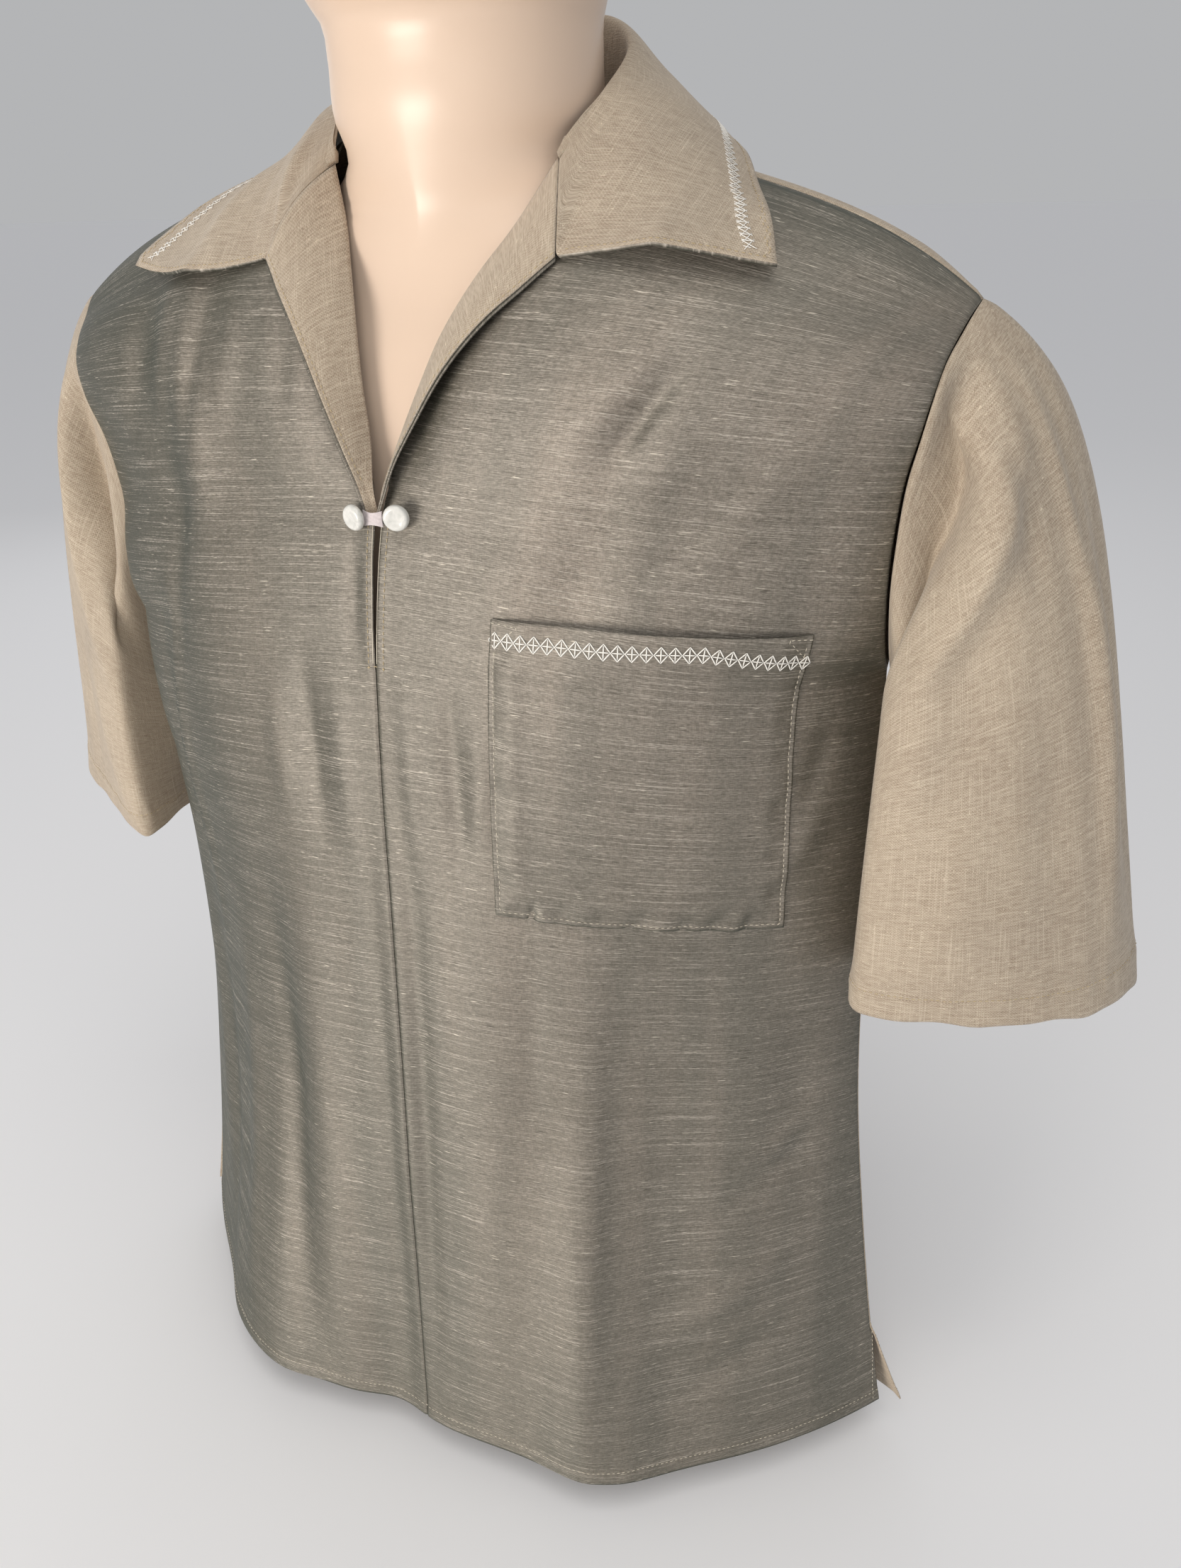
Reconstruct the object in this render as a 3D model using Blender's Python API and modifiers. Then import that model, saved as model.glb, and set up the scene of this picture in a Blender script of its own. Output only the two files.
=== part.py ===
"""Short-sleeved pullover shirt with an open camp collar, worn by a smooth limbless torso form.

Metres, +Z up. The wearer faces -Y and the wearer's left is +X. The form stands on z = 0.
Every piece of cloth is a lofted sheet with a Solidify wall, and meets its neighbours at a
seam gap. A panel is skinned through rows that run from the centre line out to the side seam
or the armhole; the tables give the ends and the curvature of those rows.
"""

import math
from collections import namedtuple

import bmesh
import bpy
import numpy as np

# ------------------------------------------------------------------ driving dimensions
WALL = 0.0012            # cloth wall
COLLAR_WALL = 0.0016     # two layers and an interlining
GAP = 0.0003             # clearance at every seam
SLEEVE_INSET = 0.0013    # how far a sleeve head stays off the armhole
SLIT_BOTTOM = 0.486      # foot of the centre-front slit
SLIT_TOP = 0.556         # where the lapels start to turn back
SLIT_HALF = 0.0016       # half width of the slit at its top
UNDERARM = 0.500         # the row that ends under the arm
VENT_TOP = 0.082         # top of the side vents
VENT_FLARE = 0.012       # how far the back panel's left corner swings out of the vent
VENT_FLARE_RIGHT = 0.003 # the same for its right corner
RIGHT_CLOSER = 0.045     # share by which the wearer's right side hangs closer at the hem
PANEL_COLUMNS = 18
BACK_COLUMNS = 28
BODY_LEVELS = 18         # rows of a panel from the hem to the underarm
ARMHOLE_LEVELS = 11      # rows of a panel from the underarm to the shoulder
SLEEVE_LEVELS = 14
POCKET_LEFT = 0.0560     # distance of the pocket from the centre-front seam
POCKET_WIDTH = 0.1390
POCKET_BOTTOM = 0.3740
POCKET_HEIGHT = 0.1410
POCKET_RISE = 0.0100     # how much taller its side nearer the armhole is
POCKET_STAND = 0.0009    # how far it stands off the panel beyond the seam gap
POCKET_GAPE = 0.0030     # how far its mouth hangs open
BUTTON_RADIUS = 0.0058
BUTTON_DEPTH = 0.0040
BAR_THREAD = 0.0020

# ------------------------------------------------------------------ tables
# A row of a panel: its inner end, how far the edge rolls in, its outer end, the power that
# sets how square the row is, the power that sets how late it drops, and how far it arches up.
Row = namedtuple("Row", "key x_in y_in z_in roll x_out y_out z_out power drop crest")
FRONT_ROWS = (
    Row(0.020, 0.0000, -0.1690, 0.0200, 0.0, 0.2470, -0.0570, 0.0220, 2.7, 1.0, 0.0),
    Row(0.080, 0.0000, -0.1650, 0.0800, 0.0, 0.2380, -0.0530, 0.0750, 2.5, 1.3, 0.0),
    Row(0.160, 0.0000, -0.1580, 0.1600, 0.0, 0.2270, -0.0480, 0.1480, 2.3, 1.4, 0.0),
    Row(0.260, 0.0000, -0.1500, 0.2600, 0.0, 0.2160, -0.0420, 0.2400, 2.1, 1.5, 0.0),
    Row(0.360, 0.0000, -0.1430, 0.3600, 0.0, 0.2120, -0.0380, 0.3340, 2.2, 1.5, 0.0),
    Row(0.435, 0.0000, -0.1380, 0.4350, 0.0, 0.2110, -0.0330, 0.4080, 2.8, 1.5, 0.0),
    Row(0.500, 0.0003, -0.1300, 0.5000, 0.0, 0.2080, -0.0230, 0.4700, 3.2, 1.5, 0.0),
    Row(0.515, 0.0006, -0.1270, 0.5150, 0.0, 0.2090, -0.0390, 0.4850, 3.0, 1.5, 0.0),
    Row(0.530, 0.0010, -0.1235, 0.5300, 0.0, 0.2090, -0.0455, 0.5020, 2.8, 1.5, 0.0),
    Row(0.555, 0.0022, -0.1170, 0.5550, 0.002, 0.2090, -0.0465, 0.5300, 2.5, 1.5, 0.0),
    Row(0.575, 0.0090, -0.1155, 0.5750, 0.010, 0.2115, -0.0485, 0.5570, 2.4, 1.5, 0.0),
    Row(0.600, 0.0172, -0.1088, 0.6000, 0.015, 0.2170, -0.0525, 0.5810, 2.3, 1.6, 0.0),
    Row(0.620, 0.0240, -0.0988, 0.6200, 0.015, 0.2205, -0.0510, 0.5970, 2.3, 1.8, 0.0),
    Row(0.640, 0.0345, -0.0842, 0.6400, 0.014, 0.2230, -0.0435, 0.6090, 2.3, 1.8, 0.0),
    Row(0.660, 0.0470, -0.0660, 0.6600, 0.008, 0.2260, -0.0330, 0.6180, 2.2, 1.6, 0.0),
    Row(0.680, 0.0575, -0.0450, 0.6780, 0.003, 0.2290, -0.0245, 0.6255, 1.9, 1.3, 0.03),
    Row(0.700, 0.0680, -0.0080, 0.6970, 0.0, 0.2310, -0.0170, 0.6300, 1.4, 1.0, 0.062),
)
BACK_ROWS = (
    Row(0.020, 0.0, 0.0820, 0.0200, 0.0, 0.2470, -0.0570, 0.0220, 2.8, 1.0, 0.0),
    Row(0.080, 0.0, 0.0830, 0.0800, 0.0, 0.2380, -0.0530, 0.0750, 2.8, 1.3, 0.0),
    Row(0.160, 0.0, 0.0840, 0.1600, 0.0, 0.2270, -0.0480, 0.1480, 2.8, 1.4, 0.0),
    Row(0.260, 0.0, 0.0880, 0.2600, 0.0, 0.2160, -0.0420, 0.2400, 2.7, 1.5, 0.0),
    Row(0.360, 0.0, 0.0960, 0.3600, 0.0, 0.2120, -0.0380, 0.3340, 2.6, 1.5, 0.0),
    Row(0.435, 0.0, 0.1030, 0.4350, 0.0, 0.2110, -0.0330, 0.4080, 2.5, 1.5, 0.0),
    Row(0.500, 0.0, 0.1080, 0.5000, 0.0, 0.2080, -0.0230, 0.4700, 2.5, 1.5, 0.0),
    Row(0.530, 0.0, 0.1100, 0.5350, 0.0, 0.2090, 0.0200, 0.4980, 2.5, 1.5, 0.0),
    Row(0.575, 0.0, 0.1110, 0.5800, 0.0, 0.2120, 0.0430, 0.5450, 2.4, 1.5, 0.0),
    Row(0.620, 0.0, 0.1050, 0.6300, 0.0, 0.2190, 0.0390, 0.5900, 2.3, 1.6, 0.0),
    Row(0.650, 0.0, 0.0930, 0.6630, 0.0, 0.2250, 0.0180, 0.6130, 2.3, 1.7, 0.0),
    Row(0.674, 0.0, 0.0800, 0.6850, 0.0, 0.2288, 0.0000, 0.6250, 2.2, 1.5, 0.02),
)
NECK_BACK_Y = 0.0620     # centre back of the neck seam
NECK_BACK_Z = 0.7060
NECK_SHARE = 0.30        # share of the back's top edge that is neck seam
YOKE_KEY = 0.690         # a row just behind the back's top edge: there the shoulder crests
YOKE_BACK = 0.013        # how far behind the edge it lies
YOKE_RISE = 0.0005       # how much higher than the shoulder seam
YOKE_FALL = 0.0060       # how much lower than the neck seam

# A soft fold on a panel: a line from one point to another, each given as the distance from
# the centre line (wearer's left positive) and the height, with its half width and its depth.
Fold = namedtuple("Fold", "across_0 height_0 across_1 height_1 width depth")
FRONT_FOLDS = (
    Fold(-0.105, 0.000, -0.095, 0.240, 0.032, 0.012),
    Fold(-0.152, 0.000, -0.140, 0.160, 0.034, 0.011),
    Fold(-0.022, 0.000, -0.010, 0.200, 0.024, -0.007),
    Fold(0.115, 0.000, 0.095, 0.260, 0.038, 0.012),
    Fold(-0.114, 0.520, -0.070, 0.670, 0.012, 0.004),
    Fold(-0.136, 0.500, -0.112, 0.650, 0.016, -0.003),
    Fold(0.105, 0.560, 0.080, 0.490, 0.016, -0.003),
    Fold(-0.192, 0.400, -0.184, 0.545, 0.028, 0.006),
)
BACK_FOLDS = (
    Fold(-0.105, 0.000, -0.080, 0.350, 0.034, 0.012),
    Fold(0.010, 0.000, 0.004, 0.400, 0.030, -0.007),
    Fold(0.112, 0.000, 0.090, 0.300, 0.034, 0.011),
    Fold(0.090, 0.480, 0.125, 0.640, 0.016, 0.004),
    Fold(-0.096, 0.500, -0.120, 0.640, 0.016, 0.003),
)

# A lengthwise line of a sleeve, by its share of the way round the armhole from the shoulder
# through the front: how it leaves the armhole, where it ends, how it comes down to the hem.
Line = namedtuple("Line", "share leave_x leave_y leave_z hem_x hem_y hem_z lead_x lead_z")
SLEEVE_LEFT = (
    Line(0.000, 0.055, 0.004, -0.038, 0.3400, 0.0050, 0.312, -0.034, 0.175),
    Line(0.125, 0.042, -0.002, -0.040, 0.3190, -0.0400, 0.314, -0.022, 0.150),
    Line(0.250, 0.028, 0.006, -0.030, 0.2680, -0.0740, 0.318, -0.008, 0.130),
    Line(0.375, 0.006, -0.008, -0.024, 0.2130, -0.0780, 0.318, 0.000, 0.120),
    Line(0.500, 0.014, 0.000, -0.010, 0.2240, -0.0100, 0.322, 0.000, 0.080),
    Line(0.625, 0.020, 0.010, -0.018, 0.2320, 0.0420, 0.320, 0.000, 0.110),
    Line(0.750, 0.044, 0.012, -0.012, 0.2780, 0.0660, 0.314, -0.002, 0.140),
    Line(0.875, 0.066, 0.014, -0.007, 0.3200, 0.0460, 0.311, -0.034, 0.170),
)
SLEEVE_RIGHT = (
    Line(0.000, 0.055, 0.004, -0.032, 0.3360, 0.0150, 0.334, -0.038, 0.140),
    Line(0.125, 0.043, -0.002, -0.036, 0.3120, -0.0220, 0.333, -0.030, 0.120),
    Line(0.250, 0.030, 0.004, -0.030, 0.2660, -0.0510, 0.330, -0.004, 0.100),
    Line(0.375, 0.014, -0.004, -0.020, 0.2190, -0.0730, 0.326, 0.006, 0.110),
    Line(0.500, 0.014, 0.000, -0.010, 0.2240, -0.0200, 0.330, 0.000, 0.080),
    Line(0.625, 0.020, 0.010, -0.018, 0.2320, 0.0400, 0.334, 0.000, 0.110),
    Line(0.750, 0.044, 0.012, -0.012, 0.2760, 0.0680, 0.336, -0.002, 0.140),
    Line(0.875, 0.060, 0.012, -0.014, 0.3170, 0.0520, 0.336, -0.042, 0.140),
)

# A section of the collar, from the centre back (0) to the front end (1).
Section = namedtuple("Section", "share seam roll body low edge")
COLLAR = (
    Section(0.00, (0.0, 0.0630, 0.7080), (0.0, 0.0690, 0.7460), (0.0, 0.0880, 0.7260),
            (0.0, 0.1020, 0.7080), (0.0, 0.1110, 0.6940)),
    Section(0.25, (0.0370, 0.0500, 0.7070), (0.0390, 0.0560, 0.7440), (0.0550, 0.0730, 0.7240),
            (0.0630, 0.0840, 0.7070), (0.0680, 0.0910, 0.6940)),
    Section(0.50, (0.0660, 0.0190, 0.7050), (0.0640, 0.0210, 0.7280), (0.0800, 0.0320, 0.7160),
            (0.0940, 0.0400, 0.7030), (0.1050, 0.0460, 0.6900)),
    Section(0.70, (0.0690, -0.0120, 0.7000), (0.0645, -0.0110, 0.7100), (0.0840, -0.0080, 0.7065),
            (0.1080, -0.0040, 0.6945), (0.1280, 0.0000, 0.6825)),
    Section(0.87, (0.0640, -0.0320, 0.6920), (0.0595, -0.0290, 0.6975), (0.0790, -0.0420, 0.6850),
            (0.1120, -0.0420, 0.6770), (0.1450, -0.0360, 0.6655)),
    Section(1.00, (0.0570, -0.0420, 0.6840), (0.0555, -0.0380, 0.6860), (0.0706, -0.0780, 0.6490),
            (0.1120, -0.0800, 0.6540), (0.1580, -0.0640, 0.6450)),
)
COLLAR_SEAM, COLLAR_ROLL, COLLAR_BODY, COLLAR_LOW = 0.0, 0.22, 0.50, 0.74
COLLAR_SETTLE = 0.0070   # how much lower the wearer's right leaf lies over the shoulder
COLLAR_SAG = (0.0, -0.0050, -0.0090)   # how its front end hangs between the gorge and the tip

# A crossing of a lapel, from where it rolls back to its free edge.
Crossing = namedtuple("Crossing", "share roll edge swell")
LAPEL = (
    Crossing(0.00, (0.0040, -0.1158, 0.5600), (0.0066, -0.1198, 0.5590), 0.0000),
    Crossing(0.18, (0.0087, -0.1057, 0.5800), (0.0140, -0.1188, 0.5760), 0.0010),
    Crossing(0.36, (0.0152, -0.0960, 0.6010), (0.0255, -0.1132, 0.5960), 0.0015),
    Crossing(0.54, (0.0222, -0.0853, 0.6215), (0.0365, -0.1062, 0.6125), 0.0020),
    Crossing(0.72, (0.0318, -0.0700, 0.6430), (0.0495, -0.0968, 0.6290), 0.0030),
    Crossing(0.86, (0.0425, -0.0533, 0.6620), (0.0600, -0.0880, 0.6390), 0.0040),
    Crossing(1.00, (0.0555, -0.0380, 0.6860), (0.0706, -0.0780, 0.6490), 0.0050),
)

# A level of the torso form: half width, front, back and squareness.
Level = namedtuple("Level", "z half front back power")
FORM = (
    Level(0.000, 0.160, -0.098, 0.066, 2.3),
    Level(0.100, 0.161, -0.100, 0.066, 2.3),
    Level(0.250, 0.156, -0.101, 0.062, 2.3),
    Level(0.400, 0.166, -0.114, 0.070, 2.2),
    Level(0.480, 0.170, -0.116, 0.078, 2.2),
    Level(0.540, 0.188, -0.104, 0.084, 2.2),
    Level(0.580, 0.196, -0.090, 0.084, 2.2),
    Level(0.610, 0.194, -0.077, 0.077, 2.1),
    Level(0.634, 0.170, -0.0660, 0.067, 1.7),
    Level(0.652, 0.132, -0.0625, 0.060, 1.45),
    Level(0.668, 0.086, -0.0620, 0.054, 1.35),
    Level(0.684, 0.0600, -0.0655, 0.0505, 1.75),
    Level(0.704, 0.0604, -0.0700, 0.0500, 2.0),
    Level(0.728, 0.0604, -0.0706, 0.0500, 2.0),
    Level(0.738, 0.0608, -0.0730, 0.0490, 2.0),
    Level(0.748, 0.0640, -0.0880, 0.0470, 2.0),
    Level(0.758, 0.0660, -0.0950, 0.0450, 2.0),
    Level(0.778, 0.0660, -0.0950, 0.0450, 2.0),
    Level(0.792, 0.0580, -0.0840, 0.0380, 2.0),
)

GREY_GREEN = (0.202, 0.183, 0.138)
TAN = (0.436, 0.342, 0.226)
SKIN = (0.800, 0.640, 0.500)
PEARL = (0.860, 0.850, 0.800)
THREAD = (0.700, 0.620, 0.600)


# ------------------------------------------------------------------ curves and sheets
def through(keys, values, query):
    """Smooth curve through a table: keys (n), values (n, ...), query (m) -> (m, ...)."""
    keys = np.asarray(keys, float)
    values = np.asarray(values, float)
    query = np.asarray(query, float)
    slope = np.gradient(values, keys, axis=0)
    i = np.clip(np.searchsorted(keys, query, side="right") - 1, 0, len(keys) - 2)
    step = keys[i + 1] - keys[i]
    shape = (-1,) + (1,) * (values.ndim - 1)
    t = ((query - keys[i]) / step).reshape(shape)
    step = step.reshape(shape)
    return (
        (2 * t**3 - 3 * t**2 + 1) * values[i]
        + (t**3 - 2 * t**2 + t) * step * slope[i]
        + (3 * t**2 - 2 * t**3) * values[i + 1]
        + (t**3 - t**2) * step * slope[i + 1]
    )


def spread(points, shares):
    """Points at the given shares of a polyline's length."""
    run = np.r_[0.0, np.cumsum(np.linalg.norm(np.diff(points, axis=0), axis=1))]
    return np.stack([np.interp(shares * run[-1], run, points[:, k]) for k in range(3)], -1)


def row_points(row, shares):
    """One row of a panel, from its inner end to its outer end."""
    t = np.sin(np.linspace(0.0, math.pi / 2, 161)) ** 0.9
    x = row.x_in + (row.x_out - row.x_in) * t
    y = row.y_out + (row.y_in - row.y_out) * (1.0 - t**row.power) ** (1.0 - 0.3 * row.key)
    y = y + row.roll * np.exp(-(x - row.x_in) / 0.012)
    z = row.z_in + (row.z_out - row.z_in) * t**row.drop + row.crest * t * t * (1.0 - t)
    return spread(np.stack([x, y, z], -1), shares)


def back_top(shares):
    """Top edge of half of the back: neck seam out to the shoulder, then the shoulder seam."""
    shoulder = row_points(FRONT_ROWS[-1], np.linspace(0.0, 1.0, 161))
    a = np.linspace(0.0, math.pi / 2, 60)
    neck = np.stack(
        [
            shoulder[0, 0] * np.sin(a),
            shoulder[0, 1] + (NECK_BACK_Y - shoulder[0, 1]) * np.cos(a),
            shoulder[0, 2] + (NECK_BACK_Z - shoulder[0, 2]) * np.cos(a),
        ],
        -1,
    )
    inner = shares < NECK_SHARE
    out = np.empty((len(shares), 3))
    out[inner] = spread(neck, shares[inner] / NECK_SHARE)
    out[~inner] = spread(shoulder, (shares[~inner] - NECK_SHARE) / (1.0 - NECK_SHARE))
    return out


def levels():
    """Heights at which a panel has rows, from the hem to the shoulder."""
    body = np.linspace(FRONT_ROWS[0].key, UNDERARM, BODY_LEVELS)
    arm = np.linspace(UNDERARM, FRONT_ROWS[-1].key, ARMHOLE_LEVELS + 1)
    return np.r_[body, arm[1:]]


def folded(grid, across, folds):
    """The sheet with its soft folds: each moves it along its normal."""
    du = np.gradient(grid, axis=1)
    dv = np.gradient(grid, axis=0)
    normal = np.cross(du, dv)
    normal /= np.linalg.norm(normal, axis=-1, keepdims=True)
    rows, columns = grid.shape[:2]
    height = grid[..., 2]
    share = np.abs(np.linspace(-1.0, 1.0, columns)) if across.min() < -0.1 and across.max() > 0.1 \
        else np.linspace(0.0, 1.0, columns)
    side = np.clip((1.0 - share) / 0.14, 0.0, 1.0)
    top = np.clip((rows - 1 - np.arange(rows)) / 4.0, 0.0, 1.0)
    hold = (side * side * (3 - 2 * side))[None] * (top * top * (3 - 2 * top))[:, None]
    move = np.zeros_like(height)
    for f in folds:
        line = np.array([f.across_1 - f.across_0, f.height_1 - f.height_0])
        length = np.hypot(*line)
        along = ((across - f.across_0) * line[0] + (height - f.height_0) * line[1]) / length**2
        off = ((across - f.across_0) * line[1] - (height - f.height_0) * line[0]) / length
        low = f.height_0 <= 0.0
        t = np.clip(along, 0.0, 1.0)
        fade = np.cos(t * math.pi / 2) ** 1.2 if low else np.sin(t * math.pi)
        move += f.depth * np.exp(-((off / f.width) ** 2)) * fade
    return grid + normal * (move * hold)[..., None]


def hung(grid):
    """The body sheet as it hangs: the wearer's right side lies closer toward the hem."""
    low = np.clip(1.0 - grid[..., 2] / 0.42, 0.0, 1.0)
    grid = grid.copy()
    grid[..., 0] *= np.where(grid[..., 0] < 0.0, 1.0 - RIGHT_CLOSER * low, 1.0)
    return grid


def half_panel(rows, keys, shares, top=None):
    """Sheet through the rows, one line of points for each height in keys.

    Below the arm its outer edge is the side seam, which front and back share.
    """
    lines = [row_points(r, shares) for r in rows]
    marks = [r.key for r in rows]
    if top is not None:
        outer = np.clip((shares - 0.5 * NECK_SHARE) / NECK_SHARE, 0.0, 1.0)
        outer = outer * outer * (3.0 - 2.0 * outer)
        end = np.clip((1.0 - shares) / 0.12, 0.25, 1.0)
        move = np.zeros((len(shares), 3))
        move[:, 1] = YOKE_BACK * (0.55 + 0.45 * outer) * end
        move[:, 2] = -YOKE_FALL + (YOKE_FALL + YOKE_RISE * end) * outer
        lines += [top + move, top]
        marks += [YOKE_KEY, FRONT_ROWS[-1].key]
    grid = through(marks, np.array(lines), keys)
    seam = [r for r in rows if r.key <= UNDERARM]
    low = keys <= UNDERARM + 1e-9
    ends = through([r.key for r in seam], [row_points(r, np.ones(1))[0] for r in seam], keys[low])
    grid[low] += (ends - grid[low, -1])[:, None] * (shares**4)[None, :, None]
    return grid


def distances(grid):
    """Distance of every point of a sheet from its first column, along its row."""
    run = np.linalg.norm(np.diff(grid, axis=1), axis=-1)
    return np.concatenate([np.zeros((len(grid), 1)), np.cumsum(run, axis=1)], axis=1)


def front_sheet(side, keys=None, shares=None):
    """Front panel of the wearer's left (side 1) or right (side -1), centre to side seam."""
    keys = levels() if keys is None else keys
    shares = np.linspace(0.0, 1.0, PANEL_COLUMNS + 1) if shares is None else shares
    grid = half_panel(FRONT_ROWS, keys, shares)
    slit = np.clip((keys - SLIT_BOTTOM) / (SLIT_TOP - SLIT_BOTTOM), 0.0, 1.0)
    grid[:, 0, 0] = np.maximum(grid[:, 0, 0], slit * SLIT_HALF)
    across = distances(grid) * side
    grid[..., 0] *= side
    bent = folded(grid, across, FRONT_FOLDS)
    if side < 0:
        bent = grid * 2.0 - bent
    return hung(bent), np.abs(across)


def back_sheet():
    """Back panel from the wearer's right side seam to the left one, hem to neck and shoulder."""
    half = BACK_COLUMNS // 2
    shares = np.linspace(0.0, 1.0, half + 1)
    right = half_panel(BACK_ROWS, levels(), shares, back_top(shares))
    across = distances(right)
    left = right * np.array([-1.0, 1.0, 1.0])
    grid = np.concatenate([left[:, ::-1], right[:, 1:]], axis=1)
    across = np.concatenate([-across[:, ::-1], across[:, 1:]], axis=1)
    grid = grid * 2.0 - folded(grid, across, BACK_FOLDS)
    swing = np.clip(1.0 - (levels() - FRONT_ROWS[0].key) / (VENT_TOP - FRONT_ROWS[0].key), 0.0, 1.0)
    for column, sign, flare in ((0, -1.0, VENT_FLARE_RIGHT), (-1, 1.0, VENT_FLARE)):
        grid[:, column] += np.stack([sign * swing, 0.35 * swing, 0.0 * swing], -1) * flare
    return hung(grid)


def armhole_ring(side, front, back):
    """Closed armhole from the shoulder down the front, under the arm and up the back."""
    down = front[BODY_LEVELS - 1:, -1][::-1]
    up = back[BODY_LEVELS - 1:, -1 if side > 0 else 0]
    return np.concatenate([down, up[1:-1]], axis=0)


def sleeve_sheet(side, front, back):
    """Sleeve from the armhole (first row) to its hem (last row); the columns close a tube."""
    ring = armhole_ring(side, front, back)
    count = len(ring)
    share = np.arange(count) / count
    table = np.array(SLEEVE_LEFT if side > 0 else SLEEVE_RIGHT, float)
    wrapped = np.concatenate([table[-2:], table, table[:3]])
    wrapped[:2, 0] -= 1.0
    wrapped[-3:, 0] += 1.0
    line = through(wrapped[:, 0], wrapped[:, 1:], share)
    mirror = np.array([side, 1.0, 1.0])
    hem = line[:, 3:6] * mirror
    first = ring + line[:, 0:3] * mirror
    last = hem + np.stack([line[:, 6] * side, np.zeros(count), line[:, 7]], -1)
    t = np.linspace(0.0, 1.0, SLEEVE_LEVELS + 1)[:, None, None] ** 0.92
    return (
        (1 - t) ** 3 * ring + 3 * t * (1 - t) ** 2 * first + 3 * t**2 * (1 - t) * last + t**3 * hem
    )


def lapel_sheet(side):
    """Lapel from the slit (first row) up to the gorge seam, roll line (first column) to edge."""
    share = np.linspace(0.0, 1.0, 15)
    keys = [c.share for c in LAPEL]
    roll = through(keys, [c.roll for c in LAPEL], share)
    edge = through(keys, [c.edge for c in LAPEL], share)
    swell = through(keys, [c.swell for c in LAPEL], share)
    t = np.linspace(0.0, 1.0, 6)[None, :, None]
    grid = roll[:, None] + (edge - roll)[:, None] * t
    out = np.array([0.35, -0.75, 0.55])
    grid = grid + out * (swell[:, None, None] * 4 * t * (1 - t))
    return grid * np.array([side, 1.0, 1.0])


def collar_sheet(side):
    """Half of the collar: neck seam (first column) over the roll to the edge, back to front."""
    share = np.linspace(0.0, 1.0, 21) ** 0.9
    knots = [COLLAR_SEAM, COLLAR_ROLL, COLLAR_BODY, COLLAR_LOW, 1.0]
    fine = np.linspace(0.0, 1.0, 101)
    rings = [through(knots, np.array(c[1:]), fine) for c in COLLAR[:-1]]
    end = COLLAR[-1]
    gorge = np.array(lapel_sheet(1.0)[-1])
    front = np.concatenate([[end.seam], gorge, [end.low, end.edge]])
    marks = np.r_[0.0, np.linspace(COLLAR_ROLL, COLLAR_BODY, len(gorge)), COLLAR_LOW, 1.0]
    rings.append(np.stack([np.interp(fine, marks, front[:, k]) for k in range(3)], -1))
    across = np.r_[np.linspace(0.0, COLLAR_ROLL, 4)[:-1], np.linspace(COLLAR_ROLL, COLLAR_BODY, 6),
                   np.linspace(COLLAR_BODY, 1.0, 6)[1:]]
    spots = np.round(across * 100).astype(int)
    grid = through([c.share for c in COLLAR], np.array(rings)[:, spots], share)
    if side < 0:
        over = np.sin(np.clip((share - 0.25) / 0.75, 0.0, 1.0) * math.pi)[:, None]
        leaf = np.sin(np.clip((across - 0.46) / 0.50, 0.0, 1.0) * math.pi)[None]
        grid[..., 2] -= COLLAR_SETTLE * over * leaf
        near = np.clip((share - 0.80) / 0.20, 0.0, 1.0)[:, None]
        hang = np.sin(np.clip((across - COLLAR_BODY) / (1.0 - COLLAR_BODY), 0.0, 1.0) * math.pi)[None]
        grid += np.array(COLLAR_SAG) * (near * hang)[..., None]
    return grid * np.array([side, 1.0, 1.0])


def pocket_sheet(front_side=1.0):
    """Patch pocket: points of the front panel moved out, with its mouth standing off a little."""
    up = np.linspace(0.0, 1.0, 11)
    out = np.linspace(0.0, 1.0, 11)
    fine = np.linspace(0.0, 1.0, 121)
    grid = np.empty((len(up), len(out), 3))
    for i in range(len(up)):
        for j, across in enumerate(out):
            key = POCKET_BOTTOM + (POCKET_HEIGHT + POCKET_RISE * across) * up[i]
            sheet, run = front_sheet(front_side, np.array([key, key + 0.002]), fine)
            share = np.interp(POCKET_LEFT + POCKET_WIDTH * across, run[0], fine)
            k = int(share * 120)
            here = sheet[0, k] + (sheet[0, k + 1] - sheet[0, k]) * (share * 120 - k)
            normal = np.cross(sheet[0, k + 1] - sheet[0, k], sheet[1, k] - sheet[0, k])
            normal /= np.linalg.norm(normal)
            gape = POCKET_GAPE * up[i] ** 6 * math.sin(math.pi * across)
            lift = WALL + GAP + POCKET_STAND + gape
            grid[i, j] = here + normal * lift
    return grid


def inset(grid, by, first_row=False, last_row=False, first_column=False, last_column=False):
    """Draws the named edges of a sheet back from their seams; by may differ along an edge."""
    grid = grid.copy()
    for wanted, edge, inner in (
        (first_row, np.s_[0, :], np.s_[1, :]),
        (last_row, np.s_[-1, :], np.s_[-2, :]),
        (first_column, np.s_[:, 0], np.s_[:, 1]),
        (last_column, np.s_[:, -1], np.s_[:, -2]),
    ):
        if wanted:
            step = grid[inner] - grid[edge]
            grid[edge] += step / np.linalg.norm(step, axis=-1, keepdims=True) * np.reshape(by, (-1, 1))
    return grid


def normals(grid):
    """Unit normal at every point of a sheet."""
    normal = np.cross(np.gradient(grid, axis=1), np.gradient(grid, axis=0))
    return normal / np.linalg.norm(normal, axis=-1, keepdims=True)


def clearance(one, other):
    """Inset for two walls that meet along a seam, from the normals of both along it."""
    turn = np.arccos(np.clip(np.abs((one * other).sum(-1)), 0.0, 1.0))
    return GAP / 2 + WALL * np.tan(turn / 2)


def along(shares, normal, query):
    """Normals given at shares of a seam, read at other shares of it."""
    return np.stack([np.interp(query, shares, normal[:, k]) for k in range(3)], -1)


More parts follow.
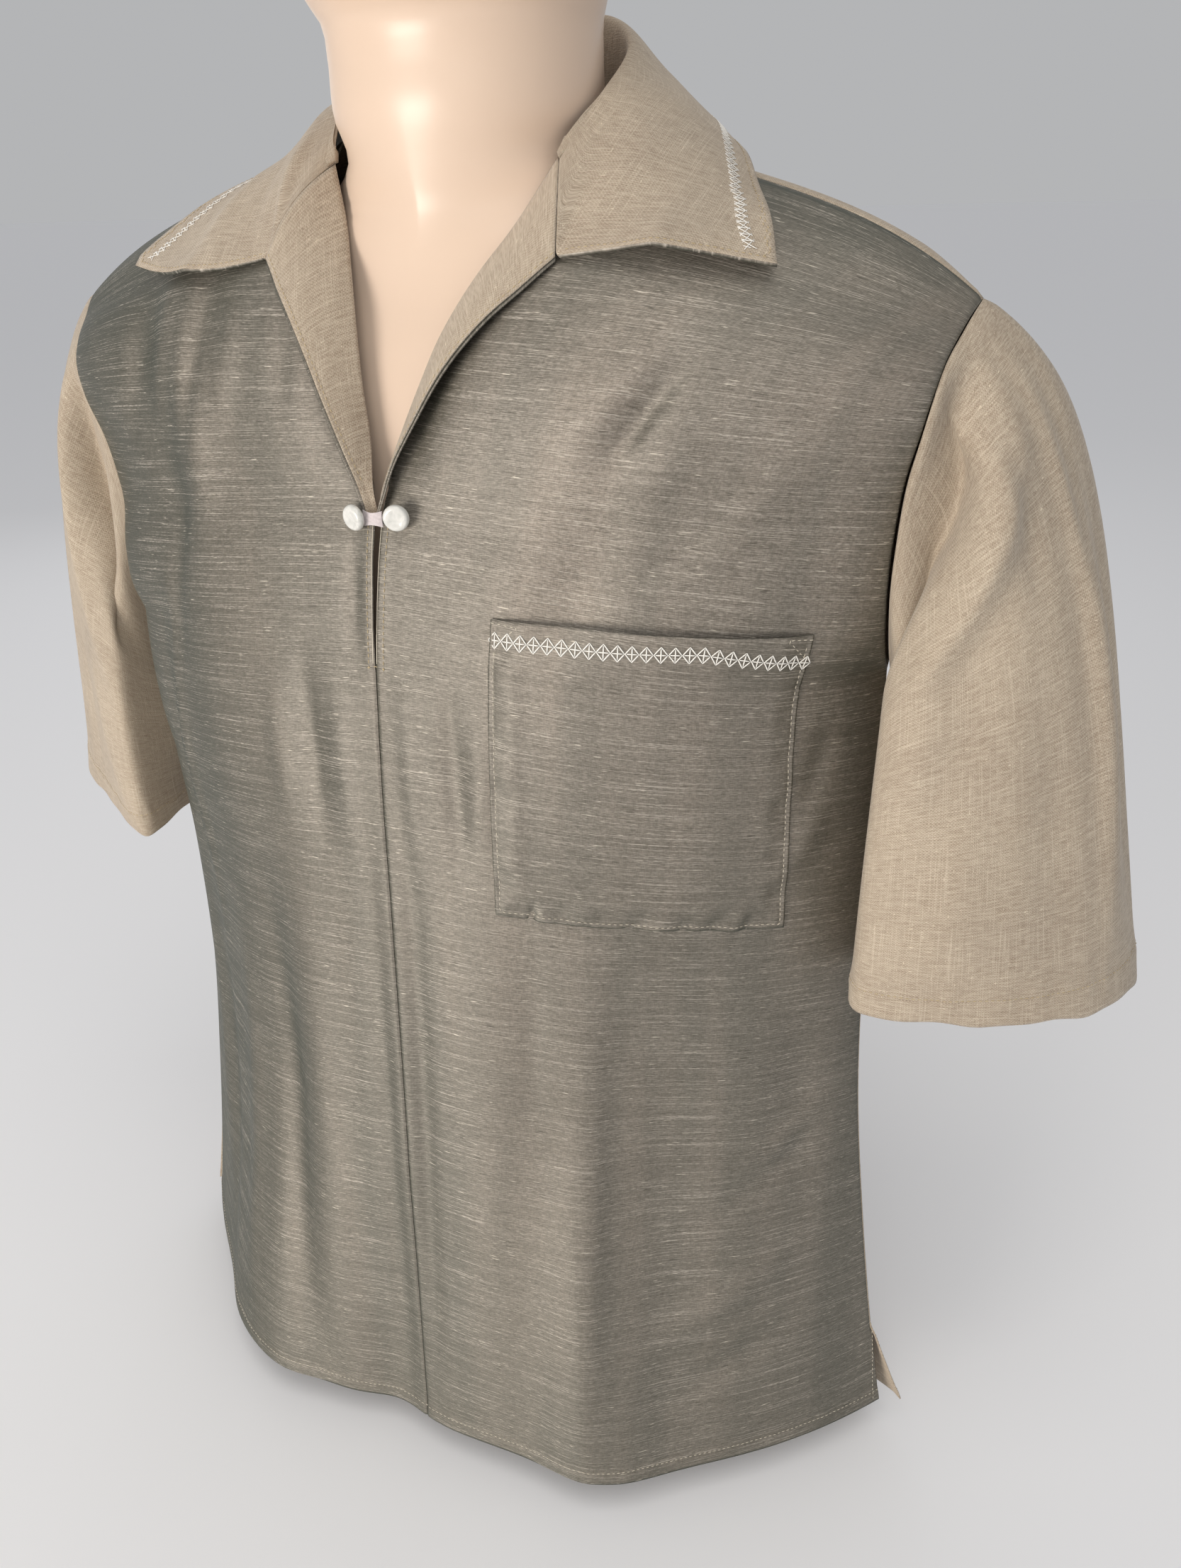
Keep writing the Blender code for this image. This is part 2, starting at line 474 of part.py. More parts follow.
def seam_insets(front, back, side):
    """Insets along one front panel's side and shoulder seams, for that panel and for the back."""
    mine, other = normals(front), normals(back)
    edge = -1 if side > 0 else 0
    half = BACK_COLUMNS // 2
    top = other[-1, half:] if side > 0 else other[-1, half::-1]
    front_run = np.linspace(0.0, 1.0, PANEL_COLUMNS + 1)
    back_run = (np.linspace(0.0, 1.0, half + 1) - NECK_SHARE) / (1.0 - NECK_SHARE)
    seam_side = clearance(mine[:, -1], other[:, edge])
    seam_side[BODY_LEVELS:] = GAP / 2
    seam_top = clearance(mine[-1], along(back_run, top, front_run))
    back_top_inset = clearance(top, along(front_run, mine[-1], back_run))
    back_top_inset[back_run < 0.0] = GAP / 2
    return seam_side, seam_top, back_top_inset


# ------------------------------------------------------------------ objects
def finish(name, colour, roughness=0.85, metallic=0.0):
    """Principled material of a sub-part."""
    material = bpy.data.materials.new(name)
    material.use_nodes = True
    shader = material.node_tree.nodes["Principled BSDF"]
    shader.inputs["Base Color"].default_value = (*colour, 1.0)
    shader.inputs["Roughness"].default_value = roughness
    shader.inputs["Metallic"].default_value = metallic
    return material


def place(name, mesh, material, home):
    """Named object for a mesh, smooth shaded, in the collection of the shirt."""
    mesh.materials.append(material)
    mesh.shade_smooth()
    thing = bpy.data.objects.new(name, mesh)
    home.objects.link(thing)
    return thing


def sheet_mesh(name, grid, closed=False, turn=False):
    """Mesh of a sheet of points; closed joins its last column to its first."""
    rows, columns = grid.shape[:2]
    mesh = bpy.data.meshes.new(name)
    bm = bmesh.new()
    verts = [[bm.verts.new(p) for p in line] for line in grid]
    for i in range(rows - 1):
        for j in range(columns if closed else columns - 1):
            k = (j + 1) % columns
            corners = [verts[i][j], verts[i][k], verts[i + 1][k], verts[i + 1][j]]
            bm.faces.new(corners[::-1] if turn else corners)
    bm.to_mesh(mesh)
    bm.free()
    return mesh


def cloth(name, grid, material, home, wall=WALL, closed=False, turn=False):
    """Sheet of cloth with its wall on the inner side."""
    thing = place(name, sheet_mesh(name, grid, closed, turn), material, home)
    shell = thing.modifiers.new("wall", "SOLIDIFY")
    shell.thickness = wall
    shell.offset = -1.0
    shell.use_even_offset = False
    return thing


def torso_form(home):
    """Smooth closed form: rings lofted from the flat foot to the rounded top of the neck."""
    table = np.array(FORM, float)
    z = np.r_[np.linspace(0.0, 0.56, 12), np.linspace(0.58, 0.792, 18)]
    level = through(table[:, 0], table[:, 1:], z)
    angle = np.linspace(0.0, 2 * math.pi, 32, endpoint=False)
    bm = bmesh.new()
    rings = []
    for height, (half, front, back, power) in zip(z, level):
        middle = -0.010
        ring = []
        for a in angle:
            c, s = math.cos(a), math.sin(a)
            x = half * math.copysign(abs(s) ** (2 / power), s)
            reach = middle - front if c > 0 else back - middle
            y = middle - reach * math.copysign(abs(c) ** (2 / power), c)
            ring.append(bm.verts.new((x, y, height)))
        rings.append(ring)
    count = len(angle)
    for lower, upper in zip(rings[:-1], rings[1:]):
        for j in range(count):
            k = (j + 1) % count
            bm.faces.new((lower[j], lower[k], upper[k], upper[j]))
    bm.faces.new(rings[0][::-1])
    bm.faces.new(rings[-1])
    bmesh.ops.recalc_face_normals(bm, faces=bm.faces[:])
    mesh = bpy.data.meshes.new("torso_form")
    bm.to_mesh(mesh)
    bm.free()
    form = place("torso_form", mesh, finish("form_skin", SKIN, 0.35), home)
    form.data.set_sharp_from_angle(angle=math.radians(50))
    return form


def button(name, where, turn, material, home):
    """Turned shank button: a domed disc whose face looks along -Y before it is turned."""
    r, d = BUTTON_RADIUS, BUTTON_DEPTH
    outline = [(0.0, 0.30 * d), (0.45 * r, 0.28 * d), (0.80 * r, 0.12 * d), (0.97 * r, -0.16 * d),
               (r, -0.38 * d), (0.93 * r, -0.56 * d), (0.60 * r, -0.68 * d), (0.30 * r, -0.72 * d),
               (0.26 * r, -d), (0.0, -d)]
    mesh = bpy.data.meshes.new(name)
    bm = bmesh.new()
    verts = [bm.verts.new((x, 0.0, z)) for x, z in outline]
    for a, b in zip(verts[:-1], verts[1:]):
        bm.edges.new((a, b))
    bm.to_mesh(mesh)
    bm.free()
    thing = place(name, mesh, material, home)
    spin = thing.modifiers.new("turn", "SCREW")
    spin.steps = spin.render_steps = 20
    spin.use_merge_vertices = True
    spin.merge_threshold = 0.00005
    thing.location = where
    thing.rotation_euler = turn
    return thing


def thread_bar(home):
    """Worked thread bar that joins the two buttons across the top of the slit."""
    curve = bpy.data.curves.new("thread_bar", "CURVE")
    curve.dimensions = "3D"
    curve.bevel_depth = BAR_THREAD
    curve.bevel_resolution = 2
    curve.use_fill_caps = True
    line = curve.splines.new("POLY")
    spots = [(-0.0052, -0.1216, 0.5488), (-0.003, -0.1224, 0.5486), (0.0, -0.1226, 0.5486),
             (0.003, -0.1224, 0.5486), (0.0048, -0.1216, 0.5488)]
    line.points.add(len(spots) - 1)
    for point, spot in zip(line.points, spots):
        point.co = (*spot, 1.0)
    bar = bpy.data.objects.new("thread_bar", curve)
    curve.materials.append(finish("bar_thread", THREAD, 0.6))
    home.objects.link(bar)
    return bar


def build():
    """Clears the scene and makes the shirt and its form."""
    for thing in list(bpy.data.objects):
        bpy.data.objects.remove(thing, do_unlink=True)
    home = bpy.data.collections.new("pullover_shirt")
    bpy.context.scene.collection.children.link(home)

    torso_form(home)

    slub = finish("slub_grey_green", GREY_GREEN, 0.55)
    linen = finish("linen_tan", TAN, 0.9)
    left, _ = front_sheet(1.0)
    right, _ = front_sheet(-1.0)
    back = back_sheet()
    sleeve_left = sleeve_sheet(1.0, left, back)
    sleeve_right = sleeve_sheet(-1.0, right, back)

    left_side, left_top, left_back = seam_insets(left, back, 1.0)
    right_side, right_top, right_back = seam_insets(right, back, -1.0)
    for name, sheet, by_side, by_top, turn in (
        ("front_left", left, left_side, left_top, False),
        ("front_right", right, right_side, right_top, True),
    ):
        panel = inset(sheet, by_side, last_column=True)
        panel = inset(panel, by_top, last_row=True)
        cloth(name, inset(panel, GAP / 2, first_column=True), slub, home, turn=turn)
    panel = inset(back, right_side, first_column=True)
    panel = inset(panel, left_side, last_column=True)
    panel = inset(panel, np.r_[right_back[:0:-1], left_back], last_row=True)
    cloth("back", panel, linen, home, turn=True)
    for name, sheet, turn in (("sleeve_left", sleeve_left, False), ("sleeve_right", sleeve_right, True)):
        cloth(name, inset(sheet, SLEEVE_INSET, first_row=True), linen, home, closed=True, turn=turn)
    cloth("pocket", pocket_sheet(), slub, home)

    cloth("lapel_left", inset(lapel_sheet(1.0), 0.0008, last_row=True), linen, home)
    cloth("lapel_right", inset(lapel_sheet(-1.0), 0.0008, last_row=True), linen, home, turn=True)
    collar = np.concatenate([collar_sheet(-1.0)[:0:-1], collar_sheet(1.0)])
    collar = inset(collar, 0.0009, first_row=True, last_row=True)
    cloth("collar", collar, linen, home, wall=COLLAR_WALL, turn=True)

    pearl = finish("pearl", PEARL, 0.2)
    for name, x, yaw in (("button_left", 0.0115, 8.0), ("button_right", -0.0108, -20.0)):
        turn = (math.radians(96.0), 0.0, math.radians(yaw))
        button(name, (x, -0.1245, 0.5500), turn, pearl, home)
    thread_bar(home)


build()
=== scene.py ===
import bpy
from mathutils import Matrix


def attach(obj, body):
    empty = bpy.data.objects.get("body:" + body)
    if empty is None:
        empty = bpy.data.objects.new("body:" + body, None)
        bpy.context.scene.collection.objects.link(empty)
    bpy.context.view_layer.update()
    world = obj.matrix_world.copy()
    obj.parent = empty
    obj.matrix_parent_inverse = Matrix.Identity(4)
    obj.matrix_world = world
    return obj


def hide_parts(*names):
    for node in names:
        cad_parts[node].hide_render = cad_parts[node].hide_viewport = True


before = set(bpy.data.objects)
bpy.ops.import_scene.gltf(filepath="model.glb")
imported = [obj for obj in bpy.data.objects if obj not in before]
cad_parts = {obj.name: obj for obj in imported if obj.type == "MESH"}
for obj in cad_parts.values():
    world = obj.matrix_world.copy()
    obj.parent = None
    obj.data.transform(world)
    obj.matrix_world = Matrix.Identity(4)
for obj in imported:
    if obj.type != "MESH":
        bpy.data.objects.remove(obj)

"""Studio scene of a short-sleeved pullover shirt with an open camp collar on a torso form.

Metres, +Z up; the wearer faces -Y and the wearer's left is +X. Every piece of cloth is a thin
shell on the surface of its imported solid, cut finely enough to carry its creases, hems and
puckers. Seams, topstitching and embroidery are laid along paths read from the same surfaces.
"""

import logging
import math
from dataclasses import dataclass, field
from enum import Enum
from typing import Callable, NamedTuple, Optional, Sequence

import bpy
import numpy as np
from mathutils import Matrix, Vector

log = logging.getLogger("shirt")
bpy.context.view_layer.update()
BODY = "root"
MM = 0.001


class Side(Enum):
    """Side of the shirt, as the wearer has it."""

    LEFT = 1
    RIGHT = -1

    @property
    def word(self) -> str:
        """Word used in the names of pieces."""
        return self.name.lower()


# --------------------------------------------------------------------------- cut of the shirt
class Row(NamedTuple):
    """A row of a panel from the centre line out to the side seam or the armhole."""

    key: float
    x_in: float
    y_in: float
    z_in: float
    roll: float
    x_out: float
    y_out: float
    z_out: float
    power: float
    drop: float
    crest: float


class Fold(NamedTuple):
    """A hanging fold: a line in distance across and height, its half width and its depth."""

    across_0: float
    height_0: float
    across_1: float
    height_1: float
    width: float
    depth: float


class Line(NamedTuple):
    """A lengthwise line of a sleeve, by its share of the way round the armhole."""

    share: float
    leave_x: float
    leave_y: float
    leave_z: float
    hem_x: float
    hem_y: float
    hem_z: float
    lead_x: float
    lead_z: float


class Section(NamedTuple):
    """A section of the collar from its neck seam over the roll to its edge."""

    share: float
    seam: tuple[float, float, float]
    roll: tuple[float, float, float]
    body: tuple[float, float, float]
    low: tuple[float, float, float]
    edge: tuple[float, float, float]


class Crossing(NamedTuple):
    """A crossing of a lapel from its roll line to its free edge."""

    share: float
    roll: tuple[float, float, float]
    edge: tuple[float, float, float]
    swell: float


class Level(NamedTuple):
    """A level of the torso form: half width, front, back and squareness."""

    z: float
    half: float
    front: float
    back: float
    power: float


SLIT_BOTTOM = 0.486      # foot of the centre-front slit
SLIT_TOP = 0.556         # where the lapels start to turn back
SLIT_HALF = 0.0016       # half width of the slit at its top
UNDERARM = 0.500         # the row that ends under the arm
VENT_TOP = 0.082         # top of the side vents
VENT_FLARE = 0.012       # how far the back panel's left corner swings out of the vent
VENT_FLARE_RIGHT = 0.003 # the same for its right corner
RIGHT_CLOSER = 0.045     # share by which the wearer's right side hangs closer at the hem
POCKET_LEFT = 0.0560     # distance of the pocket from the centre-front seam
POCKET_WIDTH = 0.1390
POCKET_BOTTOM = 0.3740
POCKET_HEIGHT = 0.1410
POCKET_RISE = 0.0100     # how much taller its side nearer the armhole is
POCKET_GAPE = 0.0030     # how far its mouth hangs open
BUTTON_RADIUS = 0.0058
BUTTON_DEPTH = 0.0040
FRONT_ROWS = (
    Row(0.020, 0.0000, -0.1690, 0.0200, 0.0, 0.2470, -0.0570, 0.0220, 2.7, 1.0, 0.0),
    Row(0.080, 0.0000, -0.1650, 0.0800, 0.0, 0.2380, -0.0530, 0.0750, 2.5, 1.3, 0.0),
    Row(0.160, 0.0000, -0.1580, 0.1600, 0.0, 0.2270, -0.0480, 0.1480, 2.3, 1.4, 0.0),
    Row(0.260, 0.0000, -0.1500, 0.2600, 0.0, 0.2160, -0.0420, 0.2400, 2.1, 1.5, 0.0),
    Row(0.360, 0.0000, -0.1430, 0.3600, 0.0, 0.2120, -0.0380, 0.3340, 2.2, 1.5, 0.0),
    Row(0.435, 0.0000, -0.1380, 0.4350, 0.0, 0.2110, -0.0330, 0.4080, 2.8, 1.5, 0.0),
    Row(0.500, 0.0003, -0.1300, 0.5000, 0.0, 0.2080, -0.0230, 0.4700, 3.2, 1.5, 0.0),
    Row(0.515, 0.0006, -0.1270, 0.5150, 0.0, 0.2090, -0.0390, 0.4850, 3.0, 1.5, 0.0),
    Row(0.530, 0.0010, -0.1235, 0.5300, 0.0, 0.2090, -0.0455, 0.5020, 2.8, 1.5, 0.0),
    Row(0.555, 0.0022, -0.1170, 0.5550, 0.002, 0.2090, -0.0465, 0.5300, 2.5, 1.5, 0.0),
    Row(0.575, 0.0090, -0.1155, 0.5750, 0.010, 0.2115, -0.0485, 0.5570, 2.4, 1.5, 0.0),
    Row(0.600, 0.0172, -0.1088, 0.6000, 0.015, 0.2170, -0.0525, 0.5810, 2.3, 1.6, 0.0),
    Row(0.620, 0.0240, -0.0988, 0.6200, 0.015, 0.2205, -0.0510, 0.5970, 2.3, 1.8, 0.0),
    Row(0.640, 0.0345, -0.0842, 0.6400, 0.014, 0.2230, -0.0435, 0.6090, 2.3, 1.8, 0.0),
    Row(0.660, 0.0470, -0.0660, 0.6600, 0.008, 0.2260, -0.0330, 0.6180, 2.2, 1.6, 0.0),
    Row(0.680, 0.0575, -0.0450, 0.6780, 0.003, 0.2290, -0.0245, 0.6255, 1.9, 1.3, 0.03),
    Row(0.700, 0.0680, -0.0080, 0.6970, 0.0, 0.2310, -0.0170, 0.6300, 1.4, 1.0, 0.062),
)
BACK_ROWS = (
    Row(0.020, 0.0, 0.0820, 0.0200, 0.0, 0.2470, -0.0570, 0.0220, 2.8, 1.0, 0.0),
    Row(0.080, 0.0, 0.0830, 0.0800, 0.0, 0.2380, -0.0530, 0.0750, 2.8, 1.3, 0.0),
    Row(0.160, 0.0, 0.0840, 0.1600, 0.0, 0.2270, -0.0480, 0.1480, 2.8, 1.4, 0.0),
    Row(0.260, 0.0, 0.0880, 0.2600, 0.0, 0.2160, -0.0420, 0.2400, 2.7, 1.5, 0.0),
    Row(0.360, 0.0, 0.0960, 0.3600, 0.0, 0.2120, -0.0380, 0.3340, 2.6, 1.5, 0.0),
    Row(0.435, 0.0, 0.1030, 0.4350, 0.0, 0.2110, -0.0330, 0.4080, 2.5, 1.5, 0.0),
    Row(0.500, 0.0, 0.1080, 0.5000, 0.0, 0.2080, -0.0230, 0.4700, 2.5, 1.5, 0.0),
    Row(0.530, 0.0, 0.1100, 0.5350, 0.0, 0.2090, 0.0200, 0.4980, 2.5, 1.5, 0.0),
    Row(0.575, 0.0, 0.1110, 0.5800, 0.0, 0.2120, 0.0430, 0.5450, 2.4, 1.5, 0.0),
    Row(0.620, 0.0, 0.1050, 0.6300, 0.0, 0.2190, 0.0390, 0.5900, 2.3, 1.6, 0.0),
    Row(0.650, 0.0, 0.0930, 0.6630, 0.0, 0.2250, 0.0180, 0.6130, 2.3, 1.7, 0.0),
    Row(0.674, 0.0, 0.0800, 0.6850, 0.0, 0.2288, 0.0000, 0.6250, 2.2, 1.5, 0.02),
)
NECK_BACK_Y = 0.0620     # centre back of the neck seam
NECK_BACK_Z = 0.7060
NECK_SHARE = 0.30        # share of the back's top edge that is neck seam
YOKE_KEY = 0.690         # a row just behind the back's top edge: there the shoulder crests
YOKE_BACK = 0.013        # how far behind the edge it lies
YOKE_RISE = 0.0005       # how much higher than the shoulder seam
YOKE_FALL = 0.0060       # how much lower than the neck seam
FRONT_FOLDS = (
    Fold(-0.105, 0.000, -0.095, 0.240, 0.032, 0.012),
    Fold(-0.152, 0.000, -0.140, 0.160, 0.034, 0.011),
    Fold(-0.022, 0.000, -0.010, 0.200, 0.024, -0.007),
    Fold(0.115, 0.000, 0.095, 0.260, 0.038, 0.012),
    Fold(-0.114, 0.520, -0.070, 0.670, 0.012, 0.004),
    Fold(-0.136, 0.500, -0.112, 0.650, 0.016, -0.003),
    Fold(0.105, 0.560, 0.080, 0.490, 0.016, -0.003),
    Fold(-0.192, 0.400, -0.184, 0.545, 0.028, 0.006),
)
BACK_FOLDS = (
    Fold(-0.105, 0.000, -0.080, 0.350, 0.034, 0.012),
    Fold(0.010, 0.000, 0.004, 0.400, 0.030, -0.007),
    Fold(0.112, 0.000, 0.090, 0.300, 0.034, 0.011),
    Fold(0.090, 0.480, 0.125, 0.640, 0.016, 0.004),
    Fold(-0.096, 0.500, -0.120, 0.640, 0.016, 0.003),
)
SLEEVE_LEFT = (
    Line(0.000, 0.055, 0.004, -0.038, 0.3400, 0.0050, 0.312, -0.034, 0.175),
    Line(0.125, 0.042, -0.002, -0.040, 0.3190, -0.0400, 0.314, -0.022, 0.150),
    Line(0.250, 0.028, 0.006, -0.030, 0.2680, -0.0740, 0.318, -0.008, 0.130),
    Line(0.375, 0.006, -0.008, -0.024, 0.2130, -0.0780, 0.318, 0.000, 0.120),
    Line(0.500, 0.014, 0.000, -0.010, 0.2240, -0.0100, 0.322, 0.000, 0.080),
    Line(0.625, 0.020, 0.010, -0.018, 0.2320, 0.0420, 0.320, 0.000, 0.110),
    Line(0.750, 0.044, 0.012, -0.012, 0.2780, 0.0660, 0.314, -0.002, 0.140),
    Line(0.875, 0.066, 0.014, -0.007, 0.3200, 0.0460, 0.311, -0.034, 0.170),
)
SLEEVE_RIGHT = (
    Line(0.000, 0.055, 0.004, -0.032, 0.3360, 0.0150, 0.334, -0.038, 0.140),
    Line(0.125, 0.043, -0.002, -0.036, 0.3120, -0.0220, 0.333, -0.030, 0.120),
    Line(0.250, 0.030, 0.004, -0.030, 0.2660, -0.0510, 0.330, -0.004, 0.100),
    Line(0.375, 0.014, -0.004, -0.020, 0.2190, -0.0730, 0.326, 0.006, 0.110),
    Line(0.500, 0.014, 0.000, -0.010, 0.2240, -0.0200, 0.330, 0.000, 0.080),
    Line(0.625, 0.020, 0.010, -0.018, 0.2320, 0.0400, 0.334, 0.000, 0.110),
    Line(0.750, 0.044, 0.012, -0.012, 0.2760, 0.0680, 0.336, -0.002, 0.140),
    Line(0.875, 0.060, 0.012, -0.014, 0.3170, 0.0520, 0.336, -0.042, 0.140),
)
COLLAR = (
    Section(0.00, (0.0, 0.0630, 0.7080), (0.0, 0.0690, 0.7460), (0.0, 0.0880, 0.7260),
            (0.0, 0.1020, 0.7080), (0.0, 0.1110, 0.6940)),
    Section(0.25, (0.0370, 0.0500, 0.7070), (0.0390, 0.0560, 0.7440), (0.0550, 0.0730, 0.7240),
            (0.0630, 0.0840, 0.7070), (0.0680, 0.0910, 0.6940)),
    Section(0.50, (0.0660, 0.0190, 0.7050), (0.0640, 0.0210, 0.7280), (0.0800, 0.0320, 0.7160),
            (0.0940, 0.0400, 0.7030), (0.1050, 0.0460, 0.6900)),
    Section(0.70, (0.0690, -0.0120, 0.7000), (0.0645, -0.0110, 0.7100), (0.0840, -0.0080, 0.7065),
            (0.1080, -0.0040, 0.6945), (0.1280, 0.0000, 0.6825)),
    Section(0.87, (0.0640, -0.0320, 0.6920), (0.0595, -0.0290, 0.6975), (0.0790, -0.0420, 0.6850),
            (0.1120, -0.0420, 0.6770), (0.1450, -0.0360, 0.6655)),
    Section(1.00, (0.0570, -0.0420, 0.6840), (0.0555, -0.0380, 0.6860), (0.0706, -0.0780, 0.6490),
            (0.1120, -0.0800, 0.6540), (0.1580, -0.0640, 0.6450)),
)
COLLAR_SEAM, COLLAR_ROLL, COLLAR_BODY, COLLAR_LOW = 0.0, 0.22, 0.50, 0.74
COLLAR_SETTLE = 0.0070   # how much lower the wearer's right leaf lies over the shoulder
COLLAR_SAG = (0.0, -0.0050, -0.0090)   # how its front end hangs between the gorge and the tip
LAPEL = (
    Crossing(0.00, (0.0040, -0.1158, 0.5600), (0.0066, -0.1198, 0.5590), 0.0000),
    Crossing(0.18, (0.0087, -0.1057, 0.5800), (0.0140, -0.1188, 0.5760), 0.0010),
    Crossing(0.36, (0.0152, -0.0960, 0.6010), (0.0255, -0.1132, 0.5960), 0.0015),
    Crossing(0.54, (0.0222, -0.0853, 0.6215), (0.0365, -0.1062, 0.6125), 0.0020),
    Crossing(0.72, (0.0318, -0.0700, 0.6430), (0.0495, -0.0968, 0.6290), 0.0030),
    Crossing(0.86, (0.0425, -0.0533, 0.6620), (0.0600, -0.0880, 0.6390), 0.0040),
    Crossing(1.00, (0.0555, -0.0380, 0.6860), (0.0706, -0.0780, 0.6490), 0.0050),
)
FORM = (
    Level(0.000, 0.160, -0.098, 0.066, 2.3),
    Level(0.100, 0.161, -0.100, 0.066, 2.3),
    Level(0.250, 0.156, -0.101, 0.062, 2.3),
    Level(0.400, 0.166, -0.114, 0.070, 2.2),
    Level(0.480, 0.170, -0.116, 0.078, 2.2),
    Level(0.540, 0.188, -0.104, 0.084, 2.2),
    Level(0.580, 0.196, -0.090, 0.084, 2.2),
    Level(0.610, 0.194, -0.077, 0.077, 2.1),
    Level(0.634, 0.170, -0.0660, 0.067, 1.7),
    Level(0.652, 0.132, -0.0625, 0.060, 1.45),
    Level(0.668, 0.086, -0.0620, 0.054, 1.35),
    Level(0.684, 0.0600, -0.0655, 0.0505, 1.75),
    Level(0.704, 0.0604, -0.0700, 0.0500, 2.0),
    Level(0.728, 0.0604, -0.0706, 0.0500, 2.0),
    Level(0.738, 0.0608, -0.0730, 0.0490, 2.0),
    Level(0.748, 0.0640, -0.0880, 0.0470, 2.0),
    Level(0.758, 0.0660, -0.0950, 0.0450, 2.0),
    Level(0.778, 0.0660, -0.0950, 0.0450, 2.0),
    Level(0.792, 0.0580, -0.0840, 0.0380, 2.0),
)


# --------------------------------------------------------------------------- curves
def through(keys: Sequence[float], values: Sequence, query: np.ndarray) -> np.ndarray:
    """Reads a smooth curve through a table.

    Args:
        keys: Rising positions of the table's entries.
        values: One number or array for each key.
        query: Positions at which the curve is read.

    Returns:
        One number or array for each position in query.
    """
    keys = np.asarray(keys, float)
    values = np.asarray(values, float)
    query = np.asarray(query, float)
    slope = np.gradient(values, keys, axis=0)
    i = np.clip(np.searchsorted(keys, query, side="right") - 1, 0, len(keys) - 2)
    step = keys[i + 1] - keys[i]
    shape = (-1,) + (1,) * (values.ndim - 1)
    t = ((query - keys[i]) / step).reshape(shape)
    step = step.reshape(shape)
    return (
        (2 * t**3 - 3 * t**2 + 1) * values[i]
        + (t**3 - 2 * t**2 + t) * step * slope[i]
        + (3 * t**2 - 2 * t**3) * values[i + 1]
        + (t**3 - t**2) * step * slope[i + 1]
    )


def spread(points: np.ndarray, shares: np.ndarray) -> np.ndarray:
    """Reads a polyline at shares of its length.

    Args:
        points: Corners of the polyline.
        shares: Shares of its length, from 0 to 1.

    Returns:
        One point for each share.
    """
    run = np.r_[0.0, np.cumsum(np.linalg.norm(np.diff(points, axis=0), axis=1))]
    return np.stack([np.interp(shares * run[-1], run, points[:, k]) for k in range(3)], -1)


def ease(value: np.ndarray) -> np.ndarray:
    """Smooth step from 0 to 1 as value goes from 0 to 1."""
    value = np.clip(value, 0.0, 1.0)
    return value * value * (3.0 - 2.0 * value)


def bump(value: np.ndarray) -> np.ndarray:
    """Bell that is 1 at 0 and fades past 1."""
    return np.exp(-np.square(value))


def unit(vectors: np.ndarray) -> np.ndarray:
    """Vectors brought to length 1."""
    return vectors / np.maximum(np.linalg.norm(vectors, axis=-1, keepdims=True), 1e-12)


# --------------------------------------------------------------------------- sheets of cloth
class Crease(NamedTuple):
    """A soft trough (negative depth) or ridge that fades at both ends, drawn on a sheet."""

    u_0: float
    v_0: float
    u_1: float
    v_1: float
    width: float
    depth: float
    lean: float = 0.0


